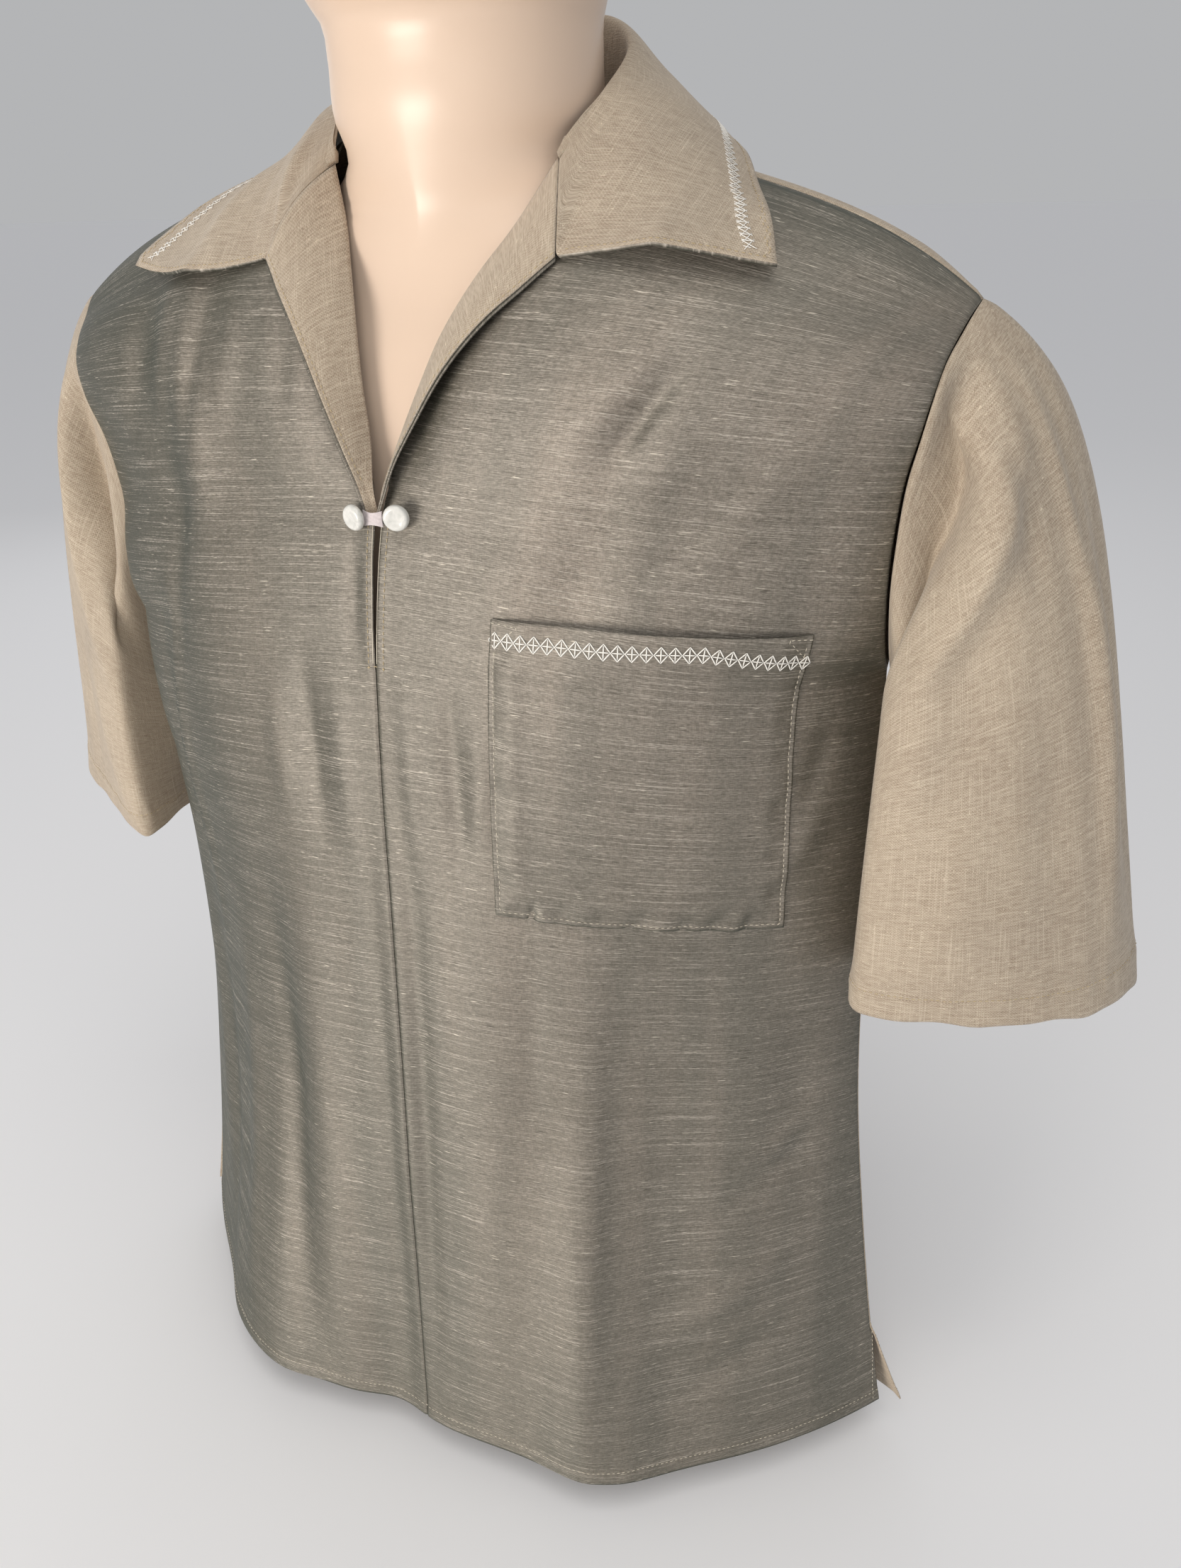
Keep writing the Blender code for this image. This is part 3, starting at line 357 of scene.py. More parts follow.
@dataclass
class Sheet:
    """A sheet of cloth as a grid of points, with the place of each in the flat weave.

    Attributes:
        points: Rows by columns by 3, in metres.
        weave: Rows by columns by 2: place across and along the cloth, in metres.
        outward: 1 or -1, whichever makes the normals leave the wearer.
        closed: True if the last column joins the first, as on a sleeve.
        girth: Width of a closed sheet in the weave.
    """

    points: np.ndarray
    weave: np.ndarray
    outward: float = 1.0
    closed: bool = False
    girth: float = 0.0

    def normals(self) -> np.ndarray:
        """Unit normals that leave the wearer."""
        grid = self.points
        if self.closed:
            ring = np.concatenate([grid[:, -1:], grid, grid[:, :1]], axis=1)
            across = (ring[:, 2:] - ring[:, :-2]) / 2
        else:
            across = np.gradient(grid, axis=1)
        return unit(np.cross(across, np.gradient(grid, axis=0))) * self.outward

    def moved(self, amount: np.ndarray) -> "Sheet":
        """The sheet moved along its normals by an amount for each point."""
        return Sheet(
            self.points + self.normals() * amount[..., None],
            self.weave, self.outward, self.closed, self.girth,
        )

    def creased(self, creases: Sequence[Crease], hold: np.ndarray) -> "Sheet":
        """The sheet with its creases.

        Args:
            creases: Troughs and ridges, drawn in the coordinates of the weave.
            hold: Share of each crease that a point takes, 0 on a seam that keeps its place.

        Returns:
            The creased sheet.
        """
        move = np.zeros(self.points.shape[:2])
        u, v = self.weave[..., 0], self.weave[..., 1]
        for c in creases:
            line = np.array([c.u_1 - c.u_0, c.v_1 - c.v_0])
            length = np.hypot(*line)
            turns = (-self.girth, 0.0, self.girth) if self.closed else (0.0,)
            for turn in turns:
                du, dv = u + turn - c.u_0, v - c.v_0
                along = (du * line[0] + dv * line[1]) / length**2
                off = (du * line[1] - dv * line[0]) / length
                width = c.width * np.where(off > 0, 1.0 + c.lean, 1.0 - c.lean)
                fade = np.sin(np.clip((along + 0.12) / 1.24, 0.0, 1.0) * math.pi) ** 1.3
                move += c.depth * bump(off / width) * fade
        return self.moved(move * hold)

    def read(self, rows: np.ndarray, columns: np.ndarray, lift: float) -> tuple[np.ndarray, np.ndarray]:
        """Points and normals at fractional rows and columns.

        Args:
            rows: Row positions.
            columns: Column positions.
            lift: How far out of the surface the points lie, in metres.

        Returns:
            Points and unit normals.
        """
        normals = self.normals()
        height, width = self.points.shape[:2]
        rows = np.clip(rows, 0, height - 1.001)
        columns = np.mod(columns, width) if self.closed else np.clip(columns, 0, width - 1.001)
        i, j = rows.astype(int), columns.astype(int)
        s, t = (rows - i)[:, None], (columns - j)[:, None]
        k = (j + 1) % width

        def blend(grid: np.ndarray) -> np.ndarray:
            """Value between four points of the grid."""
            low = grid[i, j] * (1 - t) + grid[i, k] * t
            high = grid[i + 1, j] * (1 - t) + grid[i + 1, k] * t
            return low * (1 - s) + high * s

        up = unit(blend(normals))
        return blend(self.points) + up * lift, up

    def locate(self, u: np.ndarray, v: np.ndarray) -> tuple[np.ndarray, np.ndarray]:
        """Fractional rows and columns of places in the weave.

        Args:
            u: Places across the cloth.
            v: Places along the cloth.

        Returns:
            Rows and columns.
        """
        height, width = self.points.shape[:2]
        rows = np.interp(v, self.weave[:, 0, 1], np.arange(height))
        if self.closed:
            return rows, u / self.girth * width
        i = np.minimum(rows.astype(int), height - 2)
        s = (rows - i)[:, None]
        across = self.weave[i, :, 0] * (1 - s) + self.weave[i + 1, :, 0] * s
        return rows, np.array([np.interp(a, line, np.arange(width)) for a, line in zip(u, across)])

    def surface(self, u: np.ndarray, v: np.ndarray, lift: float) -> tuple[np.ndarray, np.ndarray]:
        """Points and normals at places of the weave, moved out by lift."""
        rows, columns = self.locate(u, v)
        return self.read(rows, columns, lift)

    def path(self, places: Sequence[tuple[float, float]], lift: float, step: float = 0.002) -> "Path":
        """Path through places of the weave, read from the surface.

        Args:
            places: Corners of the path, across and along the cloth.
            lift: How far out of the surface it lies.
            step: Distance between its points.

        Returns:
            The path.
        """
        corners = np.asarray(places, float)
        run = np.r_[0.0, np.cumsum(np.linalg.norm(np.diff(corners, axis=0), axis=1))]
        query = np.linspace(0.0, run[-1], max(int(run[-1] / step), 2) + 1)
        u = np.interp(query, run, corners[:, 0])
        v = np.interp(query, run, corners[:, 1])
        return Path(*self.surface(u, v, lift))


@dataclass
class Path:
    """A path on a surface, with the direction out of the cloth at each point."""

    points: np.ndarray
    up: np.ndarray


class Panels:
    """Surfaces of the shirt's panels and sleeves, shared by the pieces that meet."""

    body_rows: int = 112
    arm_rows: int = 60
    columns: int = 92
    back_half: int = 62
    sleeve_rows: int = 104

    def __init__(self) -> None:
        """Cuts the panels and sleeves, without their small creases."""
        hem = FRONT_ROWS[0].key
        low = hem + 0.024 * np.linspace(0.0, 1.0, 17)
        body = np.linspace(low[-1], UNDERARM, self.body_rows)
        arm = np.linspace(UNDERARM, FRONT_ROWS[-1].key, self.arm_rows + 1)
        self.keys = np.r_[low[:-1], body, arm[1:]]
        self.arm_start = len(low) - 1 + len(body) - 1
        self.front = {side: self._front(side) for side in Side}
        self.back = self._back()
        self.sleeve = {side: self._sleeve(side) for side in Side}

    @staticmethod
    def _row(row: Row, shares: np.ndarray) -> np.ndarray:
        """One row of a panel, from its inner end to its outer end."""
        t = np.sin(np.linspace(0.0, math.pi / 2, 161)) ** 0.9
        x = row.x_in + (row.x_out - row.x_in) * t
        y = row.y_out + (row.y_in - row.y_out) * (1.0 - t**row.power) ** (1.0 - 0.3 * row.key)
        y = y + row.roll * np.exp(-(x - row.x_in) / 0.012)
        z = row.z_in + (row.z_out - row.z_in) * t**row.drop + row.crest * t * t * (1.0 - t)
        return spread(np.stack([x, y, z], -1), shares)

    def _back_top(self, shares: np.ndarray) -> np.ndarray:
        """Top edge of half of the back: the neck seam, then the shoulder seam."""
        shoulder = self._row(FRONT_ROWS[-1], np.linspace(0.0, 1.0, 161))
        a = np.linspace(0.0, math.pi / 2, 60)
        neck = np.stack(
            [
                shoulder[0, 0] * np.sin(a),
                shoulder[0, 1] + (NECK_BACK_Y - shoulder[0, 1]) * np.cos(a),
                shoulder[0, 2] + (NECK_BACK_Z - shoulder[0, 2]) * np.cos(a),
            ],
            -1,
        )
        inner = shares < NECK_SHARE
        out = np.empty((len(shares), 3))
        out[inner] = spread(neck, shares[inner] / NECK_SHARE)
        out[~inner] = spread(shoulder, (shares[~inner] - NECK_SHARE) / (1.0 - NECK_SHARE))
        return out

    def half(self, rows: Sequence[Row], keys: np.ndarray, shares: np.ndarray,
             top: Optional[np.ndarray] = None) -> np.ndarray:
        """Half of a panel, skinned through its rows.

        Args:
            rows: Table of the panel.
            keys: Rows wanted, as positions in the table.
            shares: Columns wanted, as shares of a row's length.
            top: Top edge, where it isn't the table's last row.

        Returns:
            Grid of points.
        """
        lines = [self._row(r, shares) for r in rows]
        marks = [r.key for r in rows]
        if top is not None:
            outer = ease((shares - 0.5 * NECK_SHARE) / NECK_SHARE)
            end = np.clip((1.0 - shares) / 0.12, 0.25, 1.0)
            move = np.zeros((len(shares), 3))
            move[:, 1] = YOKE_BACK * (0.55 + 0.45 * outer) * end
            move[:, 2] = -YOKE_FALL + (YOKE_FALL + YOKE_RISE * end) * outer
            lines += [top + move, top]
            marks += [YOKE_KEY, FRONT_ROWS[-1].key]
        grid = through(marks, np.array(lines), keys)
        seam = [r for r in rows if r.key <= UNDERARM]
        low = keys <= UNDERARM + 1e-9
        if low.any():
            ends = through([r.key for r in seam], [self._row(r, np.ones(1))[0] for r in seam], keys[low])
            grid[low] += (ends - grid[low, -1])[:, None] * (shares**4)[None, :, None]
        return grid

    @staticmethod
    def _hung(grid: np.ndarray) -> np.ndarray:
        """The body as it hangs: the wearer's right side lies closer toward the hem."""
        low = np.clip(1.0 - grid[..., 2] / 0.42, 0.0, 1.0)
        grid = grid.copy()
        grid[..., 0] *= np.where(grid[..., 0] < 0.0, 1.0 - RIGHT_CLOSER * low, 1.0)
        return grid

    @staticmethod
    def _folds(grid: np.ndarray, across: np.ndarray, folds: Sequence[Fold], keys: np.ndarray,
               share: np.ndarray) -> np.ndarray:
        """How far each point of a panel moves out for its large folds."""
        side = ease((1.0 - share) / 0.14)
        top = ease((FRONT_ROWS[-1].key - keys) / 0.0727)
        height = grid[..., 2]
        move = np.zeros_like(height)
        for f in folds:
            line = np.array([f.across_1 - f.across_0, f.height_1 - f.height_0])
            length = np.hypot(*line)
            along = ((across - f.across_0) * line[0] + (height - f.height_0) * line[1]) / length**2
            off = ((across - f.across_0) * line[1] - (height - f.height_0) * line[0]) / length
            t = np.clip(along, 0.0, 1.0)
            fade = np.cos(t * math.pi / 2) ** 1.2 if f.height_0 <= 0.0 else np.sin(t * math.pi)
            move += f.depth * bump(off / f.width) * fade
        return move * side[None] * top[:, None]

    def front_grid(self, side: Side, keys: np.ndarray, shares: np.ndarray) -> tuple[np.ndarray, np.ndarray]:
        """Front panel at given keys and shares.

        Args:
            side: Which of the two front panels.
            keys: Its rows.
            shares: Its columns.

        Returns:
            Grid of points and each one's distance from the centre-front seam.
        """
        grid = self.half(FRONT_ROWS, keys, shares)
        slit = np.clip((keys - SLIT_BOTTOM) / (SLIT_TOP - SLIT_BOTTOM), 0.0, 1.0)
        grid[:, 0, 0] = np.maximum(grid[:, 0, 0], slit * SLIT_HALF)
        run = np.linalg.norm(np.diff(grid, axis=1), axis=-1)
        across = np.concatenate([np.zeros((len(grid), 1)), np.cumsum(run, axis=1)], axis=1)
        move = self._folds(grid, across * side.value, FRONT_FOLDS, keys, shares)
        grid[..., 0] *= side.value
        sheet = Sheet(grid, np.zeros(grid.shape[:2] + (2,)), float(side.value))
        return self._hung(sheet.moved(move).points), across

    def _front(self, side: Side) -> Sheet:
        """Front panel of one side."""
        shares = np.linspace(0.0, 1.0, self.columns + 1)
        shares = shares - 0.35 * np.sin(2 * math.pi * shares) / (2 * math.pi)
        near = np.array([0.0013, 0.0026, 0.0040, 0.0058, 0.0085, 0.0115, 0.0150, 0.019])
        shares = np.r_[0.0, near, shares[shares > 0.023]]
        shares = np.sort(np.r_[shares, 1.0 - near[:5]])
        grid, across = self.front_grid(side, self.keys, shares)
        weave = np.stack([across, np.repeat(self.keys[:, None], across.shape[1], 1)], -1)
        return Sheet(grid, weave, float(side.value))

    def _back(self) -> Sheet:
        """Back panel from the wearer's right side seam to the left one."""
        shares = np.linspace(0.0, 1.0, self.back_half + 1)
        right = self.half(BACK_ROWS, self.keys, shares, self._back_top(shares))
        run = np.linalg.norm(np.diff(right, axis=1), axis=-1)
        across = np.concatenate([np.zeros((len(right), 1)), np.cumsum(run, axis=1)], axis=1)
        left = right * np.array([-1.0, 1.0, 1.0])
        grid = np.concatenate([left[:, ::-1], right[:, 1:]], axis=1)
        across = np.concatenate([-across[:, ::-1], across[:, 1:]], axis=1)
        share = np.abs(np.linspace(-1.0, 1.0, across.shape[1]))
        weave = np.stack([across, np.repeat(self.keys[:, None], across.shape[1], 1)], -1)
        sheet = Sheet(grid, weave, -1.0)
        grid = sheet.moved(self._folds(grid, across, BACK_FOLDS, self.keys, share)).points
        hem = FRONT_ROWS[0].key
        swing = np.clip(1.0 - (self.keys - hem) / (VENT_TOP - hem), 0.0, 1.0)[:, None]
        reach = ease(1.0 - (1.0 - share) / 0.072)[None]
        right_hand = np.linspace(-1.0, 1.0, across.shape[1])[None] < 0
        flare = np.where(right_hand, VENT_FLARE_RIGHT, VENT_FLARE) * swing * reach
        grid[..., 0] += np.where(right_hand, -flare, flare)
        grid[..., 1] += 0.35 * flare
        return Sheet(self._hung(grid), weave, -1.0)

    def _sleeve(self, side: Side) -> Sheet:
        """Sleeve from the armhole to its hem; its columns go round from the shoulder."""
        down = self.front[side].points[self.arm_start:, -1][::-1]
        up = self.back.points[self.arm_start:, -1 if side is Side.LEFT else 0]
        ring = np.concatenate([down, up[1:-1]], axis=0)
        count = len(ring)
        share = np.arange(count) / count
        table = np.array(SLEEVE_LEFT if side is Side.LEFT else SLEEVE_RIGHT, float)
        wrapped = np.concatenate([table[-2:], table, table[:3]])
        wrapped[:2, 0] -= 1.0
        wrapped[-3:, 0] += 1.0
        line = through(wrapped[:, 0], wrapped[:, 1:], share)
        mirror = np.array([side.value, 1.0, 1.0])
        hem = line[:, 3:6] * mirror
        first = ring + line[:, 0:3] * mirror
        last = hem + np.stack([line[:, 6] * side.value, np.zeros(count), line[:, 7]], -1)
        rows = np.r_[np.linspace(0.0, 0.94, self.sleeve_rows - 15), np.linspace(0.94, 1.0, 17)[1:]]
        t = rows[:, None, None] ** 0.92
        grid = (1 - t) ** 3 * ring + 3 * t * (1 - t) ** 2 * first + 3 * t**2 * (1 - t) * last + t**3 * hem
        girth = float(np.linalg.norm(np.diff(grid[-1], axis=0), axis=-1).sum())
        down_run = np.linalg.norm(np.diff(grid, axis=0), axis=-1).mean(1)
        along = np.r_[0.0, np.cumsum(down_run)]
        weave = np.stack(np.broadcast_arrays(share[None] * girth, along[:, None]), -1).copy()
        return Sheet(grid, weave, float(side.value), True, girth)


# --------------------------------------------------------------------------- finishes
def linear(hex_colour: str) -> tuple[float, float, float, float]:
    """Turns an sRGB hex colour to linear RGBA.

    Args:
        hex_colour: Colour such as "#8A8272".

    Returns:
        Linear red, green, blue and alpha.
    """
    parts = [int(hex_colour[i:i + 2], 16) / 255 for i in (1, 3, 5)]
    values = [c / 12.92 if c <= 0.04045 else ((c + 0.055) / 1.055) ** 2.4 for c in parts]
    return values[0], values[1], values[2], 1.0


def add(tree: bpy.types.NodeTree, kind: str, settings: Optional[dict] = None,
        inputs: Optional[dict] = None) -> bpy.types.Node:
    """Adds a node with its settings and links.

    Args:
        tree: Node tree that takes it.
        kind: Node type, as Blender names it.
        settings: Properties of the node.
        inputs: Values or output sockets for its inputs, by name or index.

    Returns:
        The new node.
    """
    made = tree.nodes.new(kind)
    for key, value in (settings or {}).items():
        setattr(made, key, value)
    for key, value in (inputs or {}).items():
        socket = made.inputs[key]
        if isinstance(value, bpy.types.NodeSocket):
            tree.links.new(value, socket)
        else:
            socket.default_value = value
    return made


def blank(name: str) -> tuple[bpy.types.Material, bpy.types.NodeTree, bpy.types.Node]:
    """A new material with its tree and its Principled shader."""
    material = bpy.data.materials.new(name)
    material.use_nodes = True
    tree = material.node_tree
    return material, tree, tree.nodes["Principled BSDF"]


def streaks(tree: bpy.types.NodeTree, place: bpy.types.NodeSocket, across_mm: float, along_mm: float,
            seed: float, low: float, high: float, detail: float = 2.0) -> bpy.types.NodeSocket:
    """Noise drawn out along one direction of the weave, as a mask.

    Args:
        tree: Material tree.
        place: Place in the weave, in millimetres.
        across_mm: Size of a streak across the cloth.
        along_mm: Size of a streak along the cloth.
        seed: Offset that sets one noise apart from another.
        low: Noise value that becomes 0.
        high: Noise value that becomes 1.
        detail: Octaves of the noise.

    Returns:
        Socket with a value from 0 to 1.
    """
    scaled = add(tree, "ShaderNodeVectorMath", {"operation": "MULTIPLY"},
                 {0: place, 1: (1.0 / across_mm, 1.0 / along_mm, 1.0)})
    moved = add(tree, "ShaderNodeVectorMath", {"operation": "ADD"},
                {0: scaled.outputs[0], 1: (seed, seed * 1.7, seed * 0.3)})
    noise = add(tree, "ShaderNodeTexNoise", {"noise_dimensions": "3D"},
                {"Vector": moved.outputs[0], "Scale": 1.0, "Detail": detail, "Roughness": 0.5})
    ramp = add(tree, "ShaderNodeMapRange", {"clamp": True},
               {"Value": noise.outputs[0], "From Min": low, "From Max": high})
    return ramp.outputs[0]


def tint(tree: bpy.types.NodeTree, share: bpy.types.NodeSocket | float, under: bpy.types.NodeSocket,
         over: str, strength: float) -> bpy.types.NodeSocket:
    """Lays a colour over another by a mask.

    Args:
        tree: Material tree.
        share: Mask from 0 to 1.
        under: Colour so far.
        over: Hex colour laid over it.
        strength: Most that the mask lets through.

    Returns:
        Colour socket.
    """
    scaled = add(tree, "ShaderNodeMath", {"operation": "MULTIPLY"}, {0: share, 1: strength})
    mixed = add(tree, "ShaderNodeMix", {"data_type": "RGBA"},
                {0: scaled.outputs[0], 6: under, 7: linear(over)})
    return mixed.outputs[2]


@dataclass(frozen=True)
class SlubDupion:
    """Two-tone slub dupion: silk-like yarns, plain woven, with thick slubs along the weft.

    A dark warp under a paler, glossier weft shows as a grey-green ground with fine level lines,
    bright slubs and dark flecks. The real yarns are about 0.3 mm; they are drawn at 0.7 mm
    because finer ones would not show. Long vertical bands of a darker tone are painted sheen and
    shade, and a painted shade darkens the colour toward a deep green where the cloth turns away
    from the eye.
    """

    name: str = "slub_dupion"
    ground: str = "#A4998C"
    pale: str = "#C6BDB1"
    dark: str = "#453E33"
    # painted sheen and shade: the darker colour of long vertical bands that stand in for the light and dark bands of
    # folds
    cool: str = "#8C857A"
    # painted shade: the deep green laid over the colour where the cloth turns away from the eye
    turned: str = "#3B4034"
    yarn_mm: float = 0.36
    rib_mm: float = 0.78
    relief_mm: float = 0.14
    roughness: float = 0.55
    lustre: float = 0.35
    grain_pull: float = 0.6

    def make(self) -> bpy.types.Material:
        """Builds the material."""
        material, tree, shader = blank(self.name)
        flat = add(tree, "ShaderNodeUVMap", {"uv_map": "weave"})
        place = add(tree, "ShaderNodeVectorMath", {"operation": "SCALE"},
                    {0: flat.outputs[0], "Scale": 1.0 / MM}).outputs[0]
        weft = streaks(tree, place, 12.0, self.yarn_mm, 3.1, 0.34, 0.66, 1.0)
        lines = streaks(tree, place, 60.0, 0.36, 87.0, 0.570, 0.670, 1.0)
        coarse = streaks(tree, place, 60.0, 1.3, 65.0, 0.50, 0.66, 1.0)
        grain = streaks(tree, place, 1.9, 0.34, 41.7, 0.38, 0.62, 0.0)
        speck = streaks(tree, place, 1.3, 0.36, 141.7, 0.54, 0.72, 0.0)
        warp = streaks(tree, place, 0.34, 2.6, 11.3, 0.36, 0.64, 1.0)
        slubs = streaks(tree, place, 9.0, 0.55, 23.9, 0.700, 0.760, 1.0)
        flecks = streaks(tree, place, 8.0, 0.50, 57.2, 0.640, 0.710, 1.0)
        level = add(tree, "ShaderNodeSeparateXYZ", {}, {0: place})
        waver = streaks(tree, place, 14.0, 6.0, 19.0, 0.0, 1.0, 1.0)
        turn = add(tree, "ShaderNodeMath", {"operation": "MULTIPLY"},
                   {0: level.outputs[1], 1: 2.0 * math.pi / self.rib_mm})
        turn = add(tree, "ShaderNodeMath", {"operation": "MULTIPLY_ADD"}, {0: waver, 1: 9.0, 2: turn.outputs[0]})
        ribs = add(tree, "ShaderNodeMath", {"operation": "SINE"}, {0: turn.outputs[0]})
        ribs = add(tree, "ShaderNodeMapRange", {}, {"Value": ribs.outputs[0], "From Min": -1.0}).outputs[0]
        # painted sheen and shade: long vertical bands, laid at random, mix the ground toward the darker band colour
        bands = streaks(tree, place, 24.0, 260.0, 5.5, 0.36, 0.66, 1.0)
        drift = streaks(tree, place, 120.0, 5.0, 71.0, 0.35, 0.65, 2.0)
        broken = add(tree, "ShaderNodeMath", {"operation": "MULTIPLY_ADD"}, {0: grain, 1: -0.65, 2: 1.0}).outputs[0]
        bright = add(tree, "ShaderNodeMath", {"operation": "MULTIPLY"}, {0: lines, 1: broken}).outputs[0]
        knotty = add(tree, "ShaderNodeMath", {"operation": "MULTIPLY"}, {0: slubs, 1: broken}).outputs[0]
        colour = add(tree, "ShaderNodeMix", {"data_type": "RGBA"},
                     {0: bands, 6: linear(self.cool), 7: linear(self.ground)}).outputs[2]
        colour = tint(tree, drift, colour, self.dark, 0.14)
        colour = tint(tree, coarse, colour, self.pale, 0.14)
        colour = tint(tree, weft, colour, self.pale, 0.14)
        colour = tint(tree, ribs, colour, self.dark, 0.26)
        colour = tint(tree, grain, colour, self.dark, 0.36)
        colour = tint(tree, warp, colour, self.dark, 0.26)
        colour = tint(tree, speck, colour, self.pale, 0.16)
        colour = tint(tree, flecks, colour, self.dark, 0.65)
        # painted shade by viewing angle: Layer Weight facing darkens the colour toward the turned green where the
        # cloth turns away from the eye
        edge = add(tree, "ShaderNodeLayerWeight", {}, {"Blend": 0.62})
        colour = tint(tree, edge.outputs["Facing"], colour, self.turned, 0.95)
        colour = tint(tree, bright, colour, self.pale, 0.66)
        colour = tint(tree, knotty, colour, "#DDD4C4", 0.85)
        tree.links.new(colour, shader.inputs["Base Color"])
        relief = add(tree, "ShaderNodeMath", {"operation": "ADD"}, {0: weft, 1: lines})
        lift = add(tree, "ShaderNodeBump", {}, {"Strength": 0.5, "Distance": self.relief_mm * MM,
                                                "Height": relief.outputs[0]})
        tree.links.new(lift.outputs[0], shader.inputs["Normal"])
        along = add(tree, "ShaderNodeTangent", {"direction_type": "UV_MAP", "uv_map": "weave"})
        tree.links.new(along.outputs[0], shader.inputs["Tangent"])
        shader.inputs["Roughness"].default_value = self.roughness
        shader.inputs["Metallic"].default_value = self.lustre
        shader.inputs["Specular IOR Level"].default_value = 0.8
        shader.inputs["Anisotropic"].default_value = self.grain_pull
        shader.inputs["Anisotropic Rotation"].default_value = 0.25
        return material


@dataclass(frozen=True)
class LinenPlainWeave:
    """Linen in a plain weave, piece dyed tan and pressed.

    Flax yarns of uneven thickness give a matt, slightly checked ground with short pale slubs
    both ways. The real yarns are about 0.35 mm; they are drawn at 0.6 mm to show.
    """

    name: str = "linen_tan"
    ground: str = "#BDAD9A"
    pale: str = "#DDD1BD"
    dark: str = "#7C6D5A"
    yarn_mm: float = 0.42
    pitch_mm: float = 0.66
    relief_mm: float = 0.14
    roughness: float = 0.86

    def make(self) -> bpy.types.Material:
        """Builds the material."""
        material, tree, shader = blank(self.name)
        flat = add(tree, "ShaderNodeUVMap", {"uv_map": "weave"})
        place = add(tree, "ShaderNodeVectorMath", {"operation": "SCALE"},
                    {0: flat.outputs[0], "Scale": 1.0 / MM}).outputs[0]
        weft = streaks(tree, place, 5.0, self.yarn_mm, 2.3, 0.34, 0.66, 1.0)
        warp = streaks(tree, place, self.yarn_mm, 5.0, 19.1, 0.34, 0.66, 1.0)
        wander = add(tree, "ShaderNodeTexNoise", {}, {"Vector": place, "Scale": 0.22, "Detail": 2.0})
        shaken = add(tree, "ShaderNodeVectorMath", {"operation": "MULTIPLY_ADD"},
                     {0: wander.outputs[1], 1: (1.5, 1.5, 0.0), 2: place}).outputs[0]
        split = add(tree, "ShaderNodeSeparateXYZ", {}, {0: shaken})
        waves = []
        for axis in (0, 1):
            turn = add(tree, "ShaderNodeMath", {"operation": "MULTIPLY"},
                       {0: split.outputs[axis], 1: math.pi / self.pitch_mm})
            waves.append(add(tree, "ShaderNodeMath", {"operation": "SINE"}, {0: turn.outputs[0]}).outputs[0])
        over = add(tree, "ShaderNodeMath", {"operation": "MULTIPLY"}, {0: waves[0], 1: waves[1]})
        check = add(tree, "ShaderNodeMapRange", {}, {"Value": over.outputs[0], "From Min": -0.6,
                                                     "From Max": 0.6}).outputs[0]
        grain = streaks(tree, place, 0.6, 0.6, 29.0, 0.38, 0.62, 0.0)
        long_weft = streaks(tree, place, 40.0, 0.5, 33.0, 0.57, 0.66, 1.0)
        long_warp = streaks(tree, place, 0.5, 40.0, 47.0, 0.57, 0.66, 1.0)
        knots = streaks(tree, place, 3.4, 0.6, 61.0, 0.730, 0.765, 1.0)
        knots_up = streaks(tree, place, 0.6, 3.8, 83.0, 0.730, 0.765, 1.0)
        clouds = streaks(tree, place, 60.0, 60.0, 7.7, 0.35, 0.65)
        colour = add(tree, "ShaderNodeMix", {"data_type": "RGBA"},
                     {0: clouds, 6: linear("#AF9F8E"), 7: linear(self.ground)}).outputs[2]
        colour = tint(tree, check, colour, self.dark, 0.66)
        colour = tint(tree, grain, colour, self.dark, 0.20)
        colour = tint(tree, warp, colour, self.dark, 0.22)
        colour = tint(tree, weft, colour, self.pale, 0.30)
        colour = tint(tree, long_weft, colour, self.pale, 0.24)
        colour = tint(tree, long_warp, colour, self.pale, 0.22)
        colour = tint(tree, knots, colour, "#E6DBC4", 0.60)
        colour = tint(tree, knots_up, colour, "#E6DBC4", 0.55)
        tree.links.new(colour, shader.inputs["Base Color"])
        relief = add(tree, "ShaderNodeMath", {"operation": "SUBTRACT"}, {0: weft, 1: warp})
        lift = add(tree, "ShaderNodeBump", {}, {"Strength": 0.5, "Distance": self.relief_mm * MM,
                                                "Height": relief.outputs[0]})
        tree.links.new(lift.outputs[0], shader.inputs["Normal"])
        shader.inputs["Roughness"].default_value = self.roughness
        shader.inputs["Specular IOR Level"].default_value = 0.22
        shader.inputs["Sheen Weight"].default_value = 0.18
        shader.inputs["Sheen Roughness"].default_value = 0.5
        return material


@dataclass(frozen=True)
class PaintedFibreglass:
    """Fibreglass laid up in a mould, sanded and sprayed with satin skin-tone enamel.

    It is smooth and even, with soft highlights and the faintest mottling of the paint.
    """

    name: str = "painted_fibreglass"
    colour: str = "#D9C1AC"
    second: str = "#DFC8B4"
    roughness: float = 0.34

    def make(self) -> bpy.types.Material:
        """Builds the material."""
        material, tree, shader = blank(self.name)
        place = add(tree, "ShaderNodeTexCoord").outputs["Object"]
        mottle = add(tree, "ShaderNodeTexNoise", {}, {"Vector": place, "Scale": 14.0, "Detail": 3.0})
        colour = add(tree, "ShaderNodeMix", {"data_type": "RGBA"},
                     {0: mottle.outputs[0], 6: linear(self.colour), 7: linear(self.second)})
        tree.links.new(colour.outputs[2], shader.inputs["Base Color"])
        shader.inputs["Roughness"].default_value = self.roughness
        shader.inputs["Specular IOR Level"].default_value = 0.45
        shader.inputs["Coat Weight"].default_value = 0.10
        shader.inputs["Coat Roughness"].default_value = 0.2
        return material


